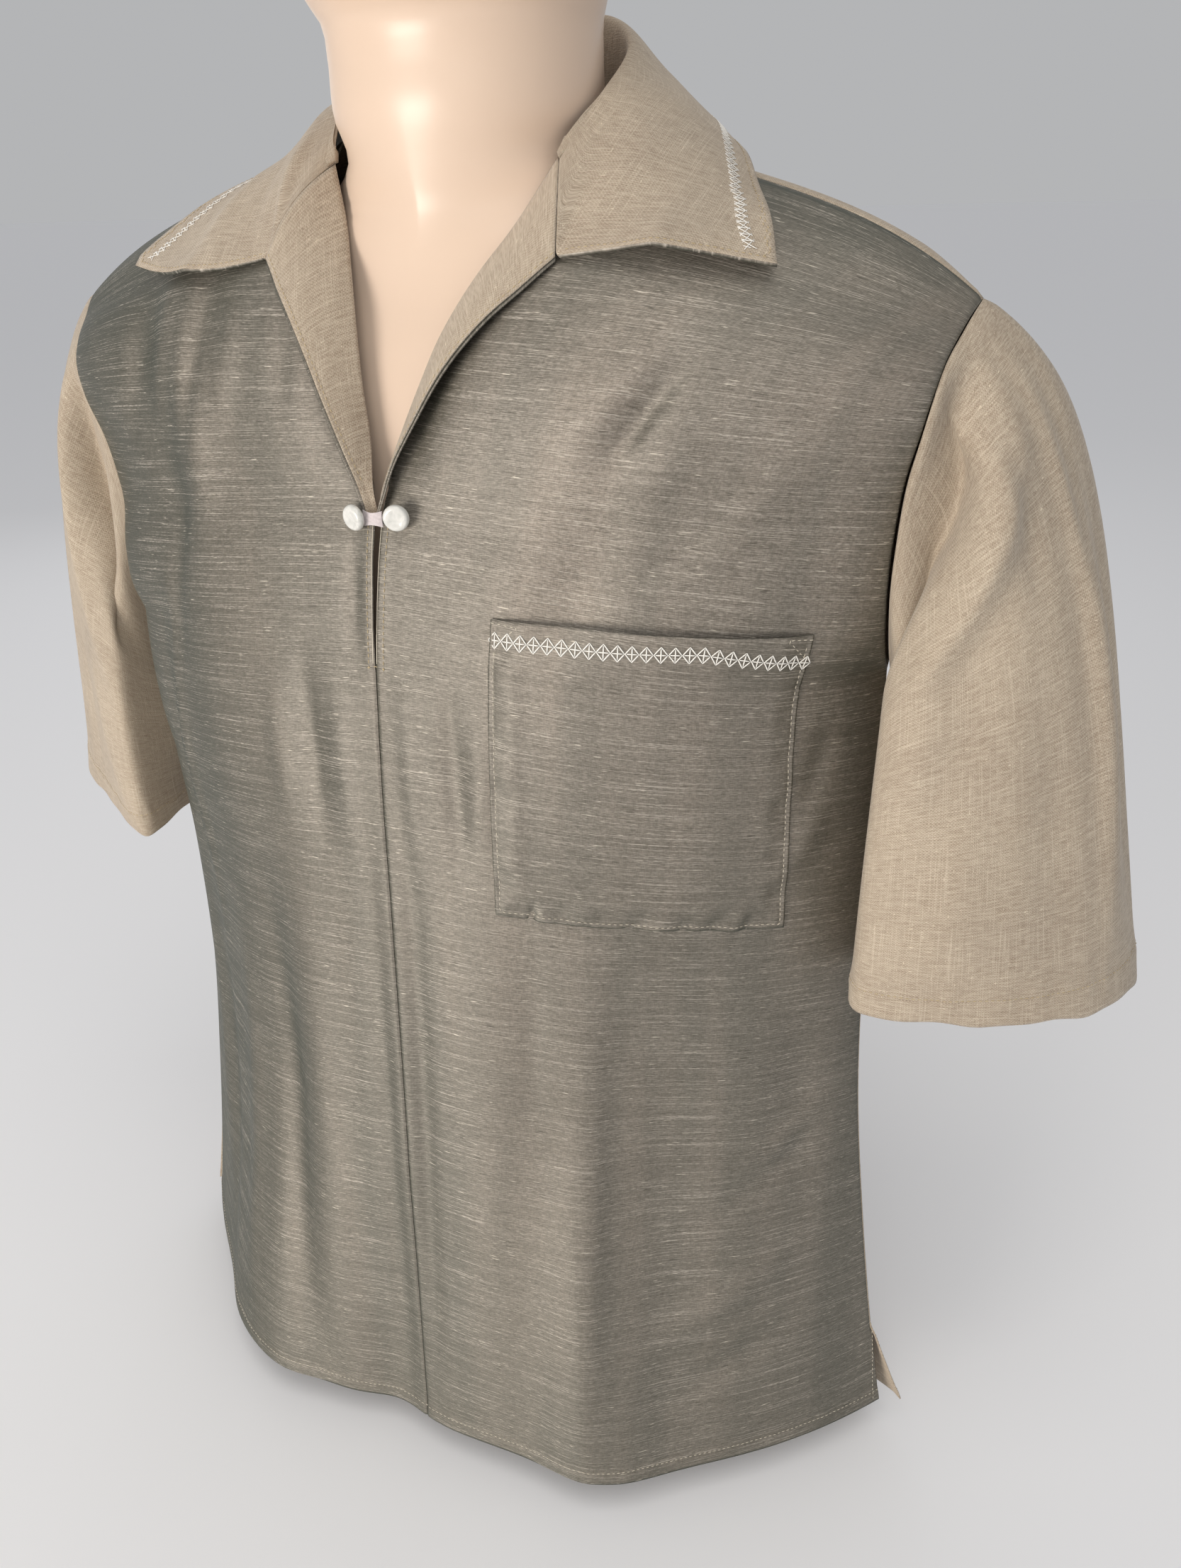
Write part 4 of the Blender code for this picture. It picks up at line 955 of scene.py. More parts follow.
@dataclass(frozen=True)
class MotherOfPearl:
    """Mother-of-pearl, turned from shell and polished: milky, with soft cloudy bands."""

    name: str = "mother_of_pearl"
    milk: str = "#EAE8E3"
    cloud: str = "#B7B8B2"

    def make(self) -> bpy.types.Material:
        """Builds the material."""
        material, tree, shader = blank(self.name)
        place = add(tree, "ShaderNodeTexCoord").outputs["Object"]
        swirl = add(tree, "ShaderNodeTexNoise", {},
                    {"Vector": place, "Scale": 260.0, "Detail": 2.0, "Distortion": 1.6})
        colour = add(tree, "ShaderNodeMix", {"data_type": "RGBA"},
                     {0: swirl.outputs[0], 6: linear(self.cloud), 7: linear(self.milk)})
        tree.links.new(colour.outputs[2], shader.inputs["Base Color"])
        shader.inputs["Roughness"].default_value = 0.16
        shader.inputs["Coat Weight"].default_value = 1.0
        shader.inputs["Coat Roughness"].default_value = 0.05
        return material


@dataclass(frozen=True)
class SewingThread:
    """Spun cotton sewing or embroidery thread: matt to silky, in one dyed colour."""

    name: str
    colour: str
    roughness: float = 0.7
    sheen: float = 0.2

    def make(self) -> bpy.types.Material:
        """Builds the material."""
        material, tree, shader = blank(self.name)
        place = add(tree, "ShaderNodeTexCoord").outputs["Object"]
        ply = add(tree, "ShaderNodeTexNoise", {}, {"Vector": place, "Scale": 1400.0, "Detail": 1.0})
        shade = add(tree, "ShaderNodeMapRange", {}, {"Value": ply.outputs[0], "To Min": 0.82, "To Max": 1.08})
        colour = add(tree, "ShaderNodeMix", {"data_type": "RGBA", "blend_type": "MULTIPLY"},
                     {0: 1.0, 6: linear(self.colour), 7: shade.outputs[0]})
        tree.links.new(colour.outputs[2], shader.inputs["Base Color"])
        shader.inputs["Roughness"].default_value = self.roughness
        shader.inputs["Sheen Weight"].default_value = self.sheen
        return material


@dataclass(frozen=True)
class StudioPaper:
    """Seamless background paper: even, matt and pale, with the faint glow of its whitener."""

    name: str = "studio_paper"
    colour: str = "#F0F0F2"
    glow: float = 0.055

    def make(self) -> bpy.types.Material:
        """Builds the material."""
        material, _, shader = blank(self.name)
        shader.inputs["Base Color"].default_value = linear(self.colour)
        shader.inputs["Roughness"].default_value = 0.9
        shader.inputs["Specular IOR Level"].default_value = 0.1
        shader.inputs["Emission Color"].default_value = (1.0, 1.0, 1.0, 1.0)
        shader.inputs["Emission Strength"].default_value = self.glow
        return material


# --------------------------------------------------------------------------- pieces from meshes
class Piece:
    """Turns points and faces into finished objects of the scene."""

    @staticmethod
    def mesh(name: str, points: np.ndarray, faces: np.ndarray | list, material: bpy.types.Material,
             weave: Optional[np.ndarray] = None) -> bpy.types.Object:
        """Makes an object of a mesh, smooth shaded.

        Args:
            name: Name of the piece.
            points: Vertices.
            faces: Corners of each face.
            material: Its finish.
            weave: Place in the weave for each corner of each face, where it has one.

        Returns:
            The object, at the origin.
        """
        mesh = bpy.data.meshes.new(name)
        mesh.from_pydata(np.asarray(points).tolist(), [], np.asarray(faces).tolist()
                         if isinstance(faces, np.ndarray) else faces)
        if weave is not None:
            layer = mesh.uv_layers.new(name="weave")
            layer.data.foreach_set("uv", np.asarray(weave, np.float32).ravel())
        mesh.materials.append(material)
        mesh.shade_smooth()
        thing = bpy.data.objects.new(name, mesh)
        bpy.context.scene.collection.objects.link(thing)
        return thing

    @staticmethod
    def shell(name: str, sheet: Sheet, material: bpy.types.Material, wall: float,
              lining: Optional[bpy.types.Material] = None) -> bpy.types.Object:
        """Makes a sheet of cloth a thin closed shell, its wall toward the wearer.

        Args:
            name: Name of the piece.
            sheet: Outer surface of the cloth.
            material: Finish of the outer face.
            wall: Thickness of the cloth.
            lining: Finish of the inner face and the rim, where it differs.

        Returns:
            The object.
        """
        rows, columns = sheet.points.shape[:2]
        index = np.arange(rows * columns).reshape(rows, columns)
        if sheet.closed:
            index = np.concatenate([index, index[:, :1]], axis=1)
            last = sheet.weave[:, :1] + np.array([sheet.girth, 0.0])
            weave = np.concatenate([sheet.weave, last], axis=1)
        else:
            weave = sheet.weave
        order = (0, 1, 2, 3) if sheet.outward > 0 else (0, 3, 2, 1)
        corners = [index[:-1, :-1], index[:-1, 1:], index[1:, 1:], index[1:, :-1]]
        places = [weave[:-1, :-1], weave[:-1, 1:], weave[1:, 1:], weave[1:, :-1]]
        faces = np.stack([corners[k] for k in order], -1).reshape(-1, 4)
        flat = np.stack([places[k] for k in order], 2).reshape(-1, 2)
        thing = Piece.mesh(name, sheet.points.reshape(-1, 3), faces, material, flat)
        wall_maker = thing.modifiers.new("wall", "SOLIDIFY")
        wall_maker.thickness = wall
        wall_maker.offset = -1.0
        wall_maker.use_even_offset = False
        if lining is not None:
            thing.data.materials.append(lining)
            wall_maker.material_offset = 1
            wall_maker.material_offset_rim = 1
        return thing

    @staticmethod
    def tube(points: np.ndarray, radii: Sequence[float], sides: int,
             flat: float = 1.0, up: Optional[np.ndarray] = None) -> tuple[np.ndarray, list]:
        """Closed tube along a path.

        Args:
            points: Path.
            radii: Radius at each of its points.
            sides: Sides of the section.
            flat: Height of the section over its width.
            up: Direction of the section's height.

        Returns:
            Vertices and faces.
        """
        tangent = unit(np.gradient(points, axis=0))
        up = np.array([0.0, -1.0, 0.2]) if up is None else up
        side = unit(np.cross(tangent, up))
        high = unit(np.cross(side, tangent))
        angle = np.arange(sides) / sides * 2 * math.pi
        rings = (points[:, None] + np.asarray(radii)[:, None, None] * (
            side[:, None] * np.cos(angle)[None, :, None]
            + high[:, None] * np.sin(angle)[None, :, None] * flat))
        count = len(points)
        verts = rings.reshape(-1, 3)
        faces = [[i * sides + j, i * sides + (j + 1) % sides, (i + 1) * sides + (j + 1) % sides,
                  (i + 1) * sides + j] for i in range(count - 1) for j in range(sides)]
        faces = [face[::-1] for face in faces]
        faces += [list(range(sides)), [(count - 1) * sides + j for j in range(sides)][::-1]]
        return verts, faces

    @staticmethod
    def finish(thing: bpy.types.Object, slot: str, *nodes: str) -> bpy.types.Object:
        """Fastens a piece to the shirt's body and hides the CAD nodes that it replaces.

        Args:
            thing: The piece.
            slot: Material slot of the record; not used.
            nodes: CAD nodes that it replaces.

        Returns:
            The piece.
        """
        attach(thing, BODY)
        if nodes:
            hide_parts(*nodes)
        log.info("%s: %d faces", thing.name, len(thing.data.polygons))
        return thing

    @staticmethod
    def declare(thing: bpy.types.Object, sheet: Sheet, held: str, rests_on: Sequence[str]) -> None:
        """Takes a piece of cloth, its sheet, how it is held and what it rests on, and does nothing with them."""


# --------------------------------------------------------------------------- stitches
class Seamstress:
    """Lays rows of stitches and chains of embroidery along paths with Geometry Nodes."""

    def __init__(self) -> None:
        """Builds the two node trees."""
        self.stitch_tree = self._stitches()
        self.chain_tree = self._chain()

    @staticmethod
    def _tree(name: str, sockets: Sequence[tuple[str, str, object]]) -> bpy.types.NodeTree:
        """Node tree with a geometry in and out, and named inputs."""
        tree = bpy.data.node_groups.new(name, "GeometryNodeTree")
        face = tree.interface
        face.new_socket("Geometry", in_out="INPUT", socket_type="NodeSocketGeometry")
        for label, kind, value in sockets:
            socket = face.new_socket(label, in_out="INPUT", socket_type=kind)
            if value is not None:
                socket.default_value = value
        face.new_socket("Geometry", in_out="OUTPUT", socket_type="NodeSocketGeometry")
        return tree

    @staticmethod
    def _facing(tree: bpy.types.NodeTree) -> bpy.types.NodeSocket:
        """Rotation along a curve, with its height out of the cloth."""
        up = add(tree, "GeometryNodeInputNamedAttribute", {"data_type": "FLOAT_VECTOR"}, {"Name": "up"})
        tangent = add(tree, "GeometryNodeInputTangent")
        first = add(tree, "FunctionNodeAlignRotationToVector", {"axis": "X"},
                    {"Vector": tangent.outputs[0]})
        second = add(tree, "FunctionNodeAlignRotationToVector", {"axis": "Z", "pivot_axis": "X"},
                     {"Rotation": first.outputs[0], "Vector": up.outputs[0]})
        return second.outputs[0]

    def _stitches(self) -> bpy.types.NodeTree:
        """Tree that lays straight stitches end to end along its paths."""
        tree = self._tree("stitch_row", [
            ("Pitch", "NodeSocketFloat", 0.0028), ("Length", "NodeSocketFloat", 0.0021),
            ("Width", "NodeSocketFloat", 0.0005), ("Height", "NodeSocketFloat", 0.0003),
            ("Unevenness", "NodeSocketFloat", 0.12), ("Seed", "NodeSocketInt", 3),
            ("Material", "NodeSocketMaterial", None)])
        took = add(tree, "NodeGroupInput").outputs
        curve = add(tree, "GeometryNodeMeshToCurve", {}, {"Mesh": took["Geometry"]})
        even = add(tree, "GeometryNodeResampleCurve", {"mode": "LENGTH"},
                   {"Curve": curve.outputs[0], "Length": took["Pitch"]})
        bead = add(tree, "GeometryNodeMeshUVSphere", {}, {"Segments": 6, "Rings": 4, "Radius": 0.5})
        size = add(tree, "ShaderNodeCombineXYZ", {},
                   {0: took["Length"], 1: took["Width"], 2: took["Height"]})
        wobble = add(tree, "ShaderNodeMath", {"operation": "SUBTRACT"}, {0: 1.0, 1: took["Unevenness"]})
        vary = add(tree, "FunctionNodeRandomValue", {"data_type": "FLOAT"},
                   {2: wobble.outputs[0], 3: 1.0, "Seed": took["Seed"]})
        scale = add(tree, "ShaderNodeVectorMath", {"operation": "SCALE"},
                    {0: size.outputs[0], "Scale": vary.outputs[1]})
        placed = add(tree, "GeometryNodeInstanceOnPoints", {},
                     {"Points": even.outputs[0], "Instance": bead.outputs["Mesh"],
                      "Rotation": self._facing(tree), "Scale": scale.outputs[0]})
        self._close(tree, placed.outputs[0], took["Material"])
        return tree

    def _chain(self) -> bpy.types.NodeTree:
        """Tree that repeats an embroidered motif along its paths."""
        tree = self._tree("embroidery_chain", [
            ("Pitch", "NodeSocketFloat", 0.0058), ("Size", "NodeSocketFloat", 0.0058),
            ("Unevenness", "NodeSocketFloat", 0.08), ("Seed", "NodeSocketInt", 5),
            ("Motif", "NodeSocketObject", None), ("Material", "NodeSocketMaterial", None)])
        took = add(tree, "NodeGroupInput").outputs
        curve = add(tree, "GeometryNodeMeshToCurve", {}, {"Mesh": took["Geometry"]})
        even = add(tree, "GeometryNodeResampleCurve", {"mode": "LENGTH"},
                   {"Curve": curve.outputs[0], "Length": took["Pitch"]})
        motif = add(tree, "GeometryNodeObjectInfo", {}, {"Object": took["Motif"]})
        less = add(tree, "ShaderNodeMath", {"operation": "SUBTRACT"}, {0: 1.0, 1: took["Unevenness"]})
        vary = add(tree, "FunctionNodeRandomValue", {"data_type": "FLOAT"},
                   {2: less.outputs[0], 3: 1.0, "Seed": took["Seed"]})
        scale = add(tree, "ShaderNodeMath", {"operation": "MULTIPLY"},
                    {0: took["Size"], 1: vary.outputs[1]})
        placed = add(tree, "GeometryNodeInstanceOnPoints", {},
                     {"Points": even.outputs[0], "Instance": motif.outputs["Geometry"],
                      "Rotation": self._facing(tree), "Scale": scale.outputs[0]})
        self._close(tree, placed.outputs[0], took["Material"])
        return tree

    @staticmethod
    def _close(tree: bpy.types.NodeTree, made: bpy.types.NodeSocket, finish: bpy.types.NodeSocket) -> None:
        """Ends a tree: real geometry with one finish."""
        real = add(tree, "GeometryNodeRealizeInstances", {}, {"Geometry": made})
        dressed = add(tree, "GeometryNodeSetMaterial", {}, {"Geometry": real.outputs[0], "Material": finish})
        add(tree, "NodeGroupOutput", {}, {0: dressed.outputs[0]})

    @staticmethod
    def _thread(name: str, paths: Sequence[Path]) -> bpy.types.Object:
        """Mesh of bare edges along the paths, with the direction out of the cloth."""
        points, ups, edges = [], [], []
        for path in paths:
            first = sum(len(p) for p in points)
            points.append(path.points)
            ups.append(path.up)
            edges += [(first + k, first + k + 1) for k in range(len(path.points) - 1)]
        mesh = bpy.data.meshes.new(name)
        mesh.from_pydata(np.concatenate(points).tolist(), edges, [])
        layer = mesh.attributes.new("up", "FLOAT_VECTOR", "POINT")
        layer.data.foreach_set("vector", np.concatenate(ups).astype(np.float32).ravel())
        thing = bpy.data.objects.new(name, mesh)
        bpy.context.scene.collection.objects.link(thing)
        return thing

    @staticmethod
    def _work(thing: bpy.types.Object, tree: bpy.types.NodeTree, values: dict) -> bpy.types.Object:
        """Runs a tree on an object and keeps the result as a plain mesh."""
        modifier = thing.modifiers.new(tree.name, "NODES")
        modifier.node_group = tree
        for item in tree.interface.items_tree:
            if item.in_out == "INPUT" and item.name in values:
                modifier[item.identifier] = values[item.name]
        bpy.context.view_layer.update()
        graph = bpy.context.evaluated_depsgraph_get()
        mesh = bpy.data.meshes.new_from_object(thing.evaluated_get(graph), depsgraph=graph)
        thing.modifiers.remove(modifier)
        thing.data = mesh
        for name in [a.name for a in mesh.attributes if a.name == "up"]:
            mesh.attributes.remove(mesh.attributes[name])
        mesh.shade_smooth()
        return thing

    def stitch(self, name: str, paths: Sequence[Path], material: bpy.types.Material, slot: str,
               pitch: float = 2.8 * MM, length: float = 2.1 * MM, width: float = 0.5 * MM,
               seed: int = 3) -> bpy.types.Object:
        """Sews rows of straight stitches.

        Args:
            name: Name of the piece.
            paths: Where the rows run.
            material: Thread.
            slot: Record's material slot; not used.
            pitch: Distance from one stitch to the next.
            length: Length of a stitch that shows.
            width: Thickness of the thread.
            seed: Seed of the unevenness.

        Returns:
            The stitches as one piece.
        """
        thing = self._work(self._thread(name, paths), self.stitch_tree, {
            "Pitch": pitch, "Length": length, "Width": width, "Height": width * 0.62,
            "Seed": seed, "Material": material})
        return Piece.finish(thing, slot)

    def embroider(self, name: str, paths: Sequence[Path], motif: bpy.types.Object,
                  material: bpy.types.Material, slot: str, pitch: float, size: float) -> bpy.types.Object:
        """Works a chain of motifs.

        Args:
            name: Name of the piece.
            paths: Where the chains run.
            motif: Motif, one unit long.
            material: Thread.
            slot: Record's material slot; not used.
            pitch: Distance from one motif to the next.
            size: Length of a motif.

        Returns:
            The chains as one piece.
        """
        thing = self._work(self._thread(name, paths), self.chain_tree, {
            "Pitch": pitch, "Size": size, "Motif": motif, "Material": material})
        return Piece.finish(thing, slot)


# --------------------------------------------------------------------------- pieces of the shirt
@dataclass(frozen=True)
class Wardrobe:
    """Every finish of the shirt, its form and its threads."""

    slub: bpy.types.Material
    linen: bpy.types.Material
    skin: bpy.types.Material
    pearl: bpy.types.Material
    bar: bpy.types.Material
    tan_thread: bpy.types.Material
    green_thread: bpy.types.Material
    white_floss: bpy.types.Material

    @staticmethod
    def stocked() -> "Wardrobe":
        """Makes every finish once."""
        return Wardrobe(
            slub=SlubDupion().make(),
            linen=LinenPlainWeave().make(),
            skin=PaintedFibreglass().make(),
            pearl=MotherOfPearl().make(),
            bar=SewingThread("thread_bar_cotton", "#D2C8C9", 0.45, 0.5).make(),
            tan_thread=SewingThread("sewing_thread_tan", "#BBA884").make(),
            green_thread=SewingThread("sewing_thread_grey_green", "#C9C0AE").make(),
            white_floss=SewingThread("embroidery_floss_white", "#F0EDE6", 0.5, 0.4).make(),
        )


def hem_relief(up: np.ndarray, along: np.ndarray, deep: float, lift: float, seed: float) -> np.ndarray:
    """How far a turned and stitched hem stands out of its cloth.

    Args:
        up: Distance of each point from the edge.
        along: Place of each point along the edge.
        deep: Depth of the hem.
        lift: Thickness that the turned cloth adds.
        seed: Sets one hem's puckers apart from another's.

    Returns:
        Distance out of the cloth.
    """
    body = lift * (1.0 - ease((up - deep) / (1.6 * MM)))
    groove = -0.45 * MM * bump((up - deep + 0.8 * MM) / (1.1 * MM))
    swing = np.sin(along / 0.0021 + seed) * np.sin(along / 0.0093 + 1.7 * seed)
    drift = np.sin(along / 0.0137 + seed) + 0.6 * np.sin(along / 0.0051 + 2.0 * seed)
    pucker = 0.28 * MM * (0.6 * swing + 0.5 * drift) * bump((up - deep) / (6.5 * MM))
    return body + groove + pucker


@dataclass
class FrontPanel:
    """A front panel in slub, from the hem to the shoulder, seamed down the centre front."""

    side: Side
    creases: Sequence[Crease]
    wall: float = 0.8 * MM
    hem_deep: float = 9.0 * MM
    hem_lift: float = 0.55 * MM
    slit_stitch: float = 3.4 * MM
    vent_stitch: float = 5.0 * MM
    sheet: Sheet = field(init=False)

    def build(self, panels: Panels, finishes: Wardrobe) -> bpy.types.Object:
        """Makes the panel.

        Args:
            panels: Surfaces of the shirt.
            finishes: Finishes of the shirt.

        Returns:
            The panel.
        """
        cut = panels.front[self.side]
        u, v = cut.weave[..., 0], cut.weave[..., 1]
        width = u[:, -1:]
        top = FRONT_ROWS[-1].key
        hold = ease((width - u) / 0.022) * ease((top - v) / 0.022) * ease(u / 0.010)
        sheet = cut.creased(self.creases, hold)
        seam = -0.75 * MM * bump((width - u) / (1.5 * MM)) * ease((v - VENT_TOP + 0.01) / 0.01)
        shoulder = -0.6 * MM * bump((top - v) / (2.0 * MM))
        middle = -0.65 * MM * bump(u / (1.0 * MM))
        facing = 0.35 * MM * (1.0 - ease((u - 4.2 * MM) / (1.4 * MM))) * ease((v - SLIT_BOTTOM + 0.006) / 0.004)
        hem = hem_relief(v - FRONT_ROWS[0].key, u, self.hem_deep, self.hem_lift, 1.0 + self.side.value)
        sheet = sheet.moved(seam + shoulder + middle + facing + hem)
        gape = 0.90 * MM * ease((v[:, 0] - SLIT_BOTTOM) / 0.030)
        sheet.points[:, 0, 0] += (0.12 * MM + gape) * self.side.value
        if self.side is Side.LEFT:
            under = ease((v - 0.558) / 0.010) * ease((0.668 - v) / 0.030) * (1.0 - ease(u / 0.012))
            sheet.points[..., 0] -= 3.0 * MM * under
            sheet.points[..., 1] -= 1.5 * MM * under
        self.sheet = sheet
        name = f"front_panel_{self.side.word}"
        thing = Piece.shell(name, sheet, finishes.slub, self.wall)
        Piece.finish(thing, "slub", f"front_{self.side.word}")
        Piece.declare(thing, sheet, "hung", ["form_skin"])
        return thing

    def dress(self, sewing: Seamstress, finishes: Wardrobe) -> None:
        """Stitches the panel's hem, vent and slit."""
        hem = FRONT_ROWS[0].key
        width = float(self.sheet.weave[0, -1, 0])
        line = hem + self.hem_deep - 0.8 * MM
        hem_row = self.sheet.path([(0.0, line), (width - 0.002, line)], 0.12 * MM)
        word = self.side.word
        sewing.stitch(f"hem_stitches_{word}", [hem_row], finishes.green_thread, "thread")
        edge = width - self.vent_stitch
        vent = self.sheet.path([(edge, hem + 0.004), (edge - 0.004, VENT_TOP), (width - 0.002, VENT_TOP)],
                               0.12 * MM)
        sewing.stitch(f"vent_stitches_{word}", [vent], finishes.green_thread, "thread", seed=9)
        away = self.slit_stitch * (1.25 if self.side is Side.LEFT else 0.9)
        slit = [self.sheet.path([(away, SLIT_BOTTOM - 0.002), (away, SLIT_TOP - 0.004)], 0.15 * MM)]
        slit.append(self.sheet.path([(0.1 * MM, SLIT_BOTTOM - 0.0015), (away, SLIT_BOTTOM - 0.002)], 0.15 * MM))
        sewing.stitch(f"slit_stitches_{word}", slit, finishes.tan_thread, "thread", pitch=2.6 * MM,
                      length=2.2 * MM, width=0.48 * MM)
        fold = self.sheet.path([(0.9 * MM, SLIT_BOTTOM), (0.9 * MM, SLIT_TOP - 0.002)], 0.16 * MM, 0.6 * MM)
        verts, faces = Piece.tube(fold.points, np.full(len(fold.points), 0.24 * MM), 8, 0.6, fold.up[0])
        cord = Piece.mesh(f"slit_edge_{word}", verts, faces, finishes.green_thread)
        Piece.finish(cord, "thread")


@dataclass
class SlitFacing:
    """The strips of slub turned in along both edges of the slit."""

    reach: float = 14.0 * MM
    depth: float = 1.6 * MM
    wall: float = 0.7 * MM

    def build(self, fronts: dict[Side, FrontPanel], finishes: Wardrobe) -> None:
        """Makes each strip from points of its front, moved in."""
        keys = np.linspace(SLIT_BOTTOM - 0.014, SLIT_TOP + 0.002, 40)
        reach = np.linspace(0.5 * MM, self.reach, 10)
        for side in Side:
            flat = np.stack(np.meshgrid(reach, keys), -1)
            points, _ = fronts[side].sheet.surface(flat[..., 0].ravel(), flat[..., 1].ravel(), -self.depth)
            strip = Sheet(points.reshape(flat.shape[:2] + (3,)), flat, float(side.value))
            thing = Piece.shell(f"slit_facing_{side.word}", strip, finishes.slub, self.wall)
            Piece.finish(thing, "slub")
            Piece.declare(thing, strip, "laid", [f"front_panel_{side.word}"])


@dataclass
class BackPanel:
    """The back in tan linen, from the hem to the neck and over the shoulders to their seams."""

    creases: Sequence[Crease]
    wall: float = 0.8 * MM
    hem_deep: float = 9.0 * MM
    hem_lift: float = 0.5 * MM
    vent_stitch: float = 5.0 * MM
    sheet: Sheet = field(init=False)

    def build(self, panels: Panels, finishes: Wardrobe) -> bpy.types.Object:
        """Makes the back."""
        cut = panels.back
        u, v = cut.weave[..., 0], cut.weave[..., 1]
        width = np.abs(u).max(1, keepdims=True)
        top = FRONT_ROWS[-1].key
        hold = ease((width - np.abs(u)) / 0.022) * ease((top - v) / 0.030)
        sheet = cut.creased(self.creases, hold)
        seam = -0.75 * MM * bump((width - np.abs(u)) / (1.5 * MM)) * ease((v - VENT_TOP + 0.01) / 0.01)
        shoulder = -0.6 * MM * bump((top - v) / (2.0 * MM))
        hem = hem_relief(v - FRONT_ROWS[0].key, u, self.hem_deep, self.hem_lift, 4.0)
        sheet = sheet.moved(seam + shoulder + hem)
        sheet.points[:, -1, 0] += 0.12 * MM
        sheet.points[:, 0, 0] -= 0.12 * MM
        self.sheet = sheet
        thing = Piece.shell("back_panel", sheet, finishes.linen, self.wall)
        Piece.finish(thing, "linen", "back")
        Piece.declare(thing, sheet, "hung", ["form_skin"])
        return thing

    def dress(self, sewing: Seamstress, finishes: Wardrobe) -> None:
        """Stitches the hem and both vents."""
        hem = FRONT_ROWS[0].key
        wide = float(self.sheet.weave[0, -1, 0])
        line = hem + self.hem_deep - 0.8 * MM
        rows = [self.sheet.path([(-wide + 0.002, line), (wide - 0.002, line)], 0.12 * MM)]
        for way in (-1.0, 1.0):
            edge = wide - self.vent_stitch
            rows.append(self.sheet.path([(way * edge, hem + 0.004), (way * (edge - 0.004), VENT_TOP),
                                         (way * (wide - 0.004), VENT_TOP)], 0.12 * MM))
        sewing.stitch("hem_stitches_back", rows, finishes.tan_thread, "thread", seed=11)


@dataclass
class Sleeve:
    """A short wide sleeve in tan linen, hemmed and topstitched."""

    side: Side
    creases: Sequence[Crease]
    wall: float = 0.8 * MM
    hem_deep: float = 15.0 * MM
    hem_lift: float = 0.5 * MM
    ripple: float = 0.5 * MM
    dip: float = 0.8 * MM
    sheet: Sheet = field(init=False)

    def build(self, panels: Panels, finishes: Wardrobe) -> bpy.types.Object:
        """Makes the sleeve."""
        cut = panels.sleeve[self.side]
        u, v = cut.weave[..., 0], cut.weave[..., 1]
        end = v[-1, 0]
        hold = ease(v / 0.011)
        sheet = cut.creased(self.creases, hold)
        turns = 2.0 * math.pi / cut.girth
        wave = np.sin(u * turns * 34) + 0.7 * np.sin(u * turns * 23 + 1.0) + 0.5 * np.sin(u * turns * 51 + 2.0)
        near = bump((end - v - self.hem_deep) / (8.0 * MM))
        seam = -0.8 * MM * bump(v / (2.2 * MM))
        hem = hem_relief(end - v, u, self.hem_deep, self.hem_lift, 7.0 + self.side.value)
        sheet = sheet.moved(seam + hem + self.ripple * 0.5 * wave * near)
        sheet.points[0] += unit(sheet.points[1] - sheet.points[0]) * 0.3 * MM
        dip = self.dip * (np.sin(u * turns * 9 + self.side.value) + 0.6 * np.sin(u * turns * 17))
        brim = 1.0 - ease((end - v) / (9.0 * MM))
        sheet.points += unit(sheet.points[-1] - sheet.points[-3]) * (dip * brim)[..., None]
        self.sheet = sheet
        thing = Piece.shell(f"sleeve_cloth_{self.side.word}", sheet, finishes.linen, self.wall)
        Piece.finish(thing, "linen", f"sleeve_{self.side.word}")
        Piece.declare(thing, sheet, "hung", [f"front_panel_{self.side.word}", "back_panel"])
        return thing

    def dress(self, sewing: Seamstress, finishes: Wardrobe) -> None:
        """Stitches the hem all round."""
        line = float(self.sheet.weave[-1, 0, 1]) - self.hem_deep + 0.8 * MM
        row = self.sheet.path([(0.0, line), (self.sheet.girth, line)], 0.12 * MM)
        sewing.stitch(f"cuff_stitches_{self.side.word}", [row], finishes.tan_thread, "thread",
                      seed=21 + self.side.value)


POCKET_NOTCHES = (
    (0.0165, 0.014, 0.0017, 0.0019), (0.0230, 0.010, 0.0040, -0.0009), (0.0420, 0.007, 0.0035, 0.0008),
    (0.0620, 0.009, 0.0045, 0.0012), (0.0740, 0.008, 0.0040, -0.0008), (0.0880, 0.008, 0.0035, 0.0012),
    (0.1010, 0.012, 0.0040, 0.0011), (0.1120, 0.016, 0.0050, -0.0012), (0.1190, 0.020, 0.0040, 0.0015),
)


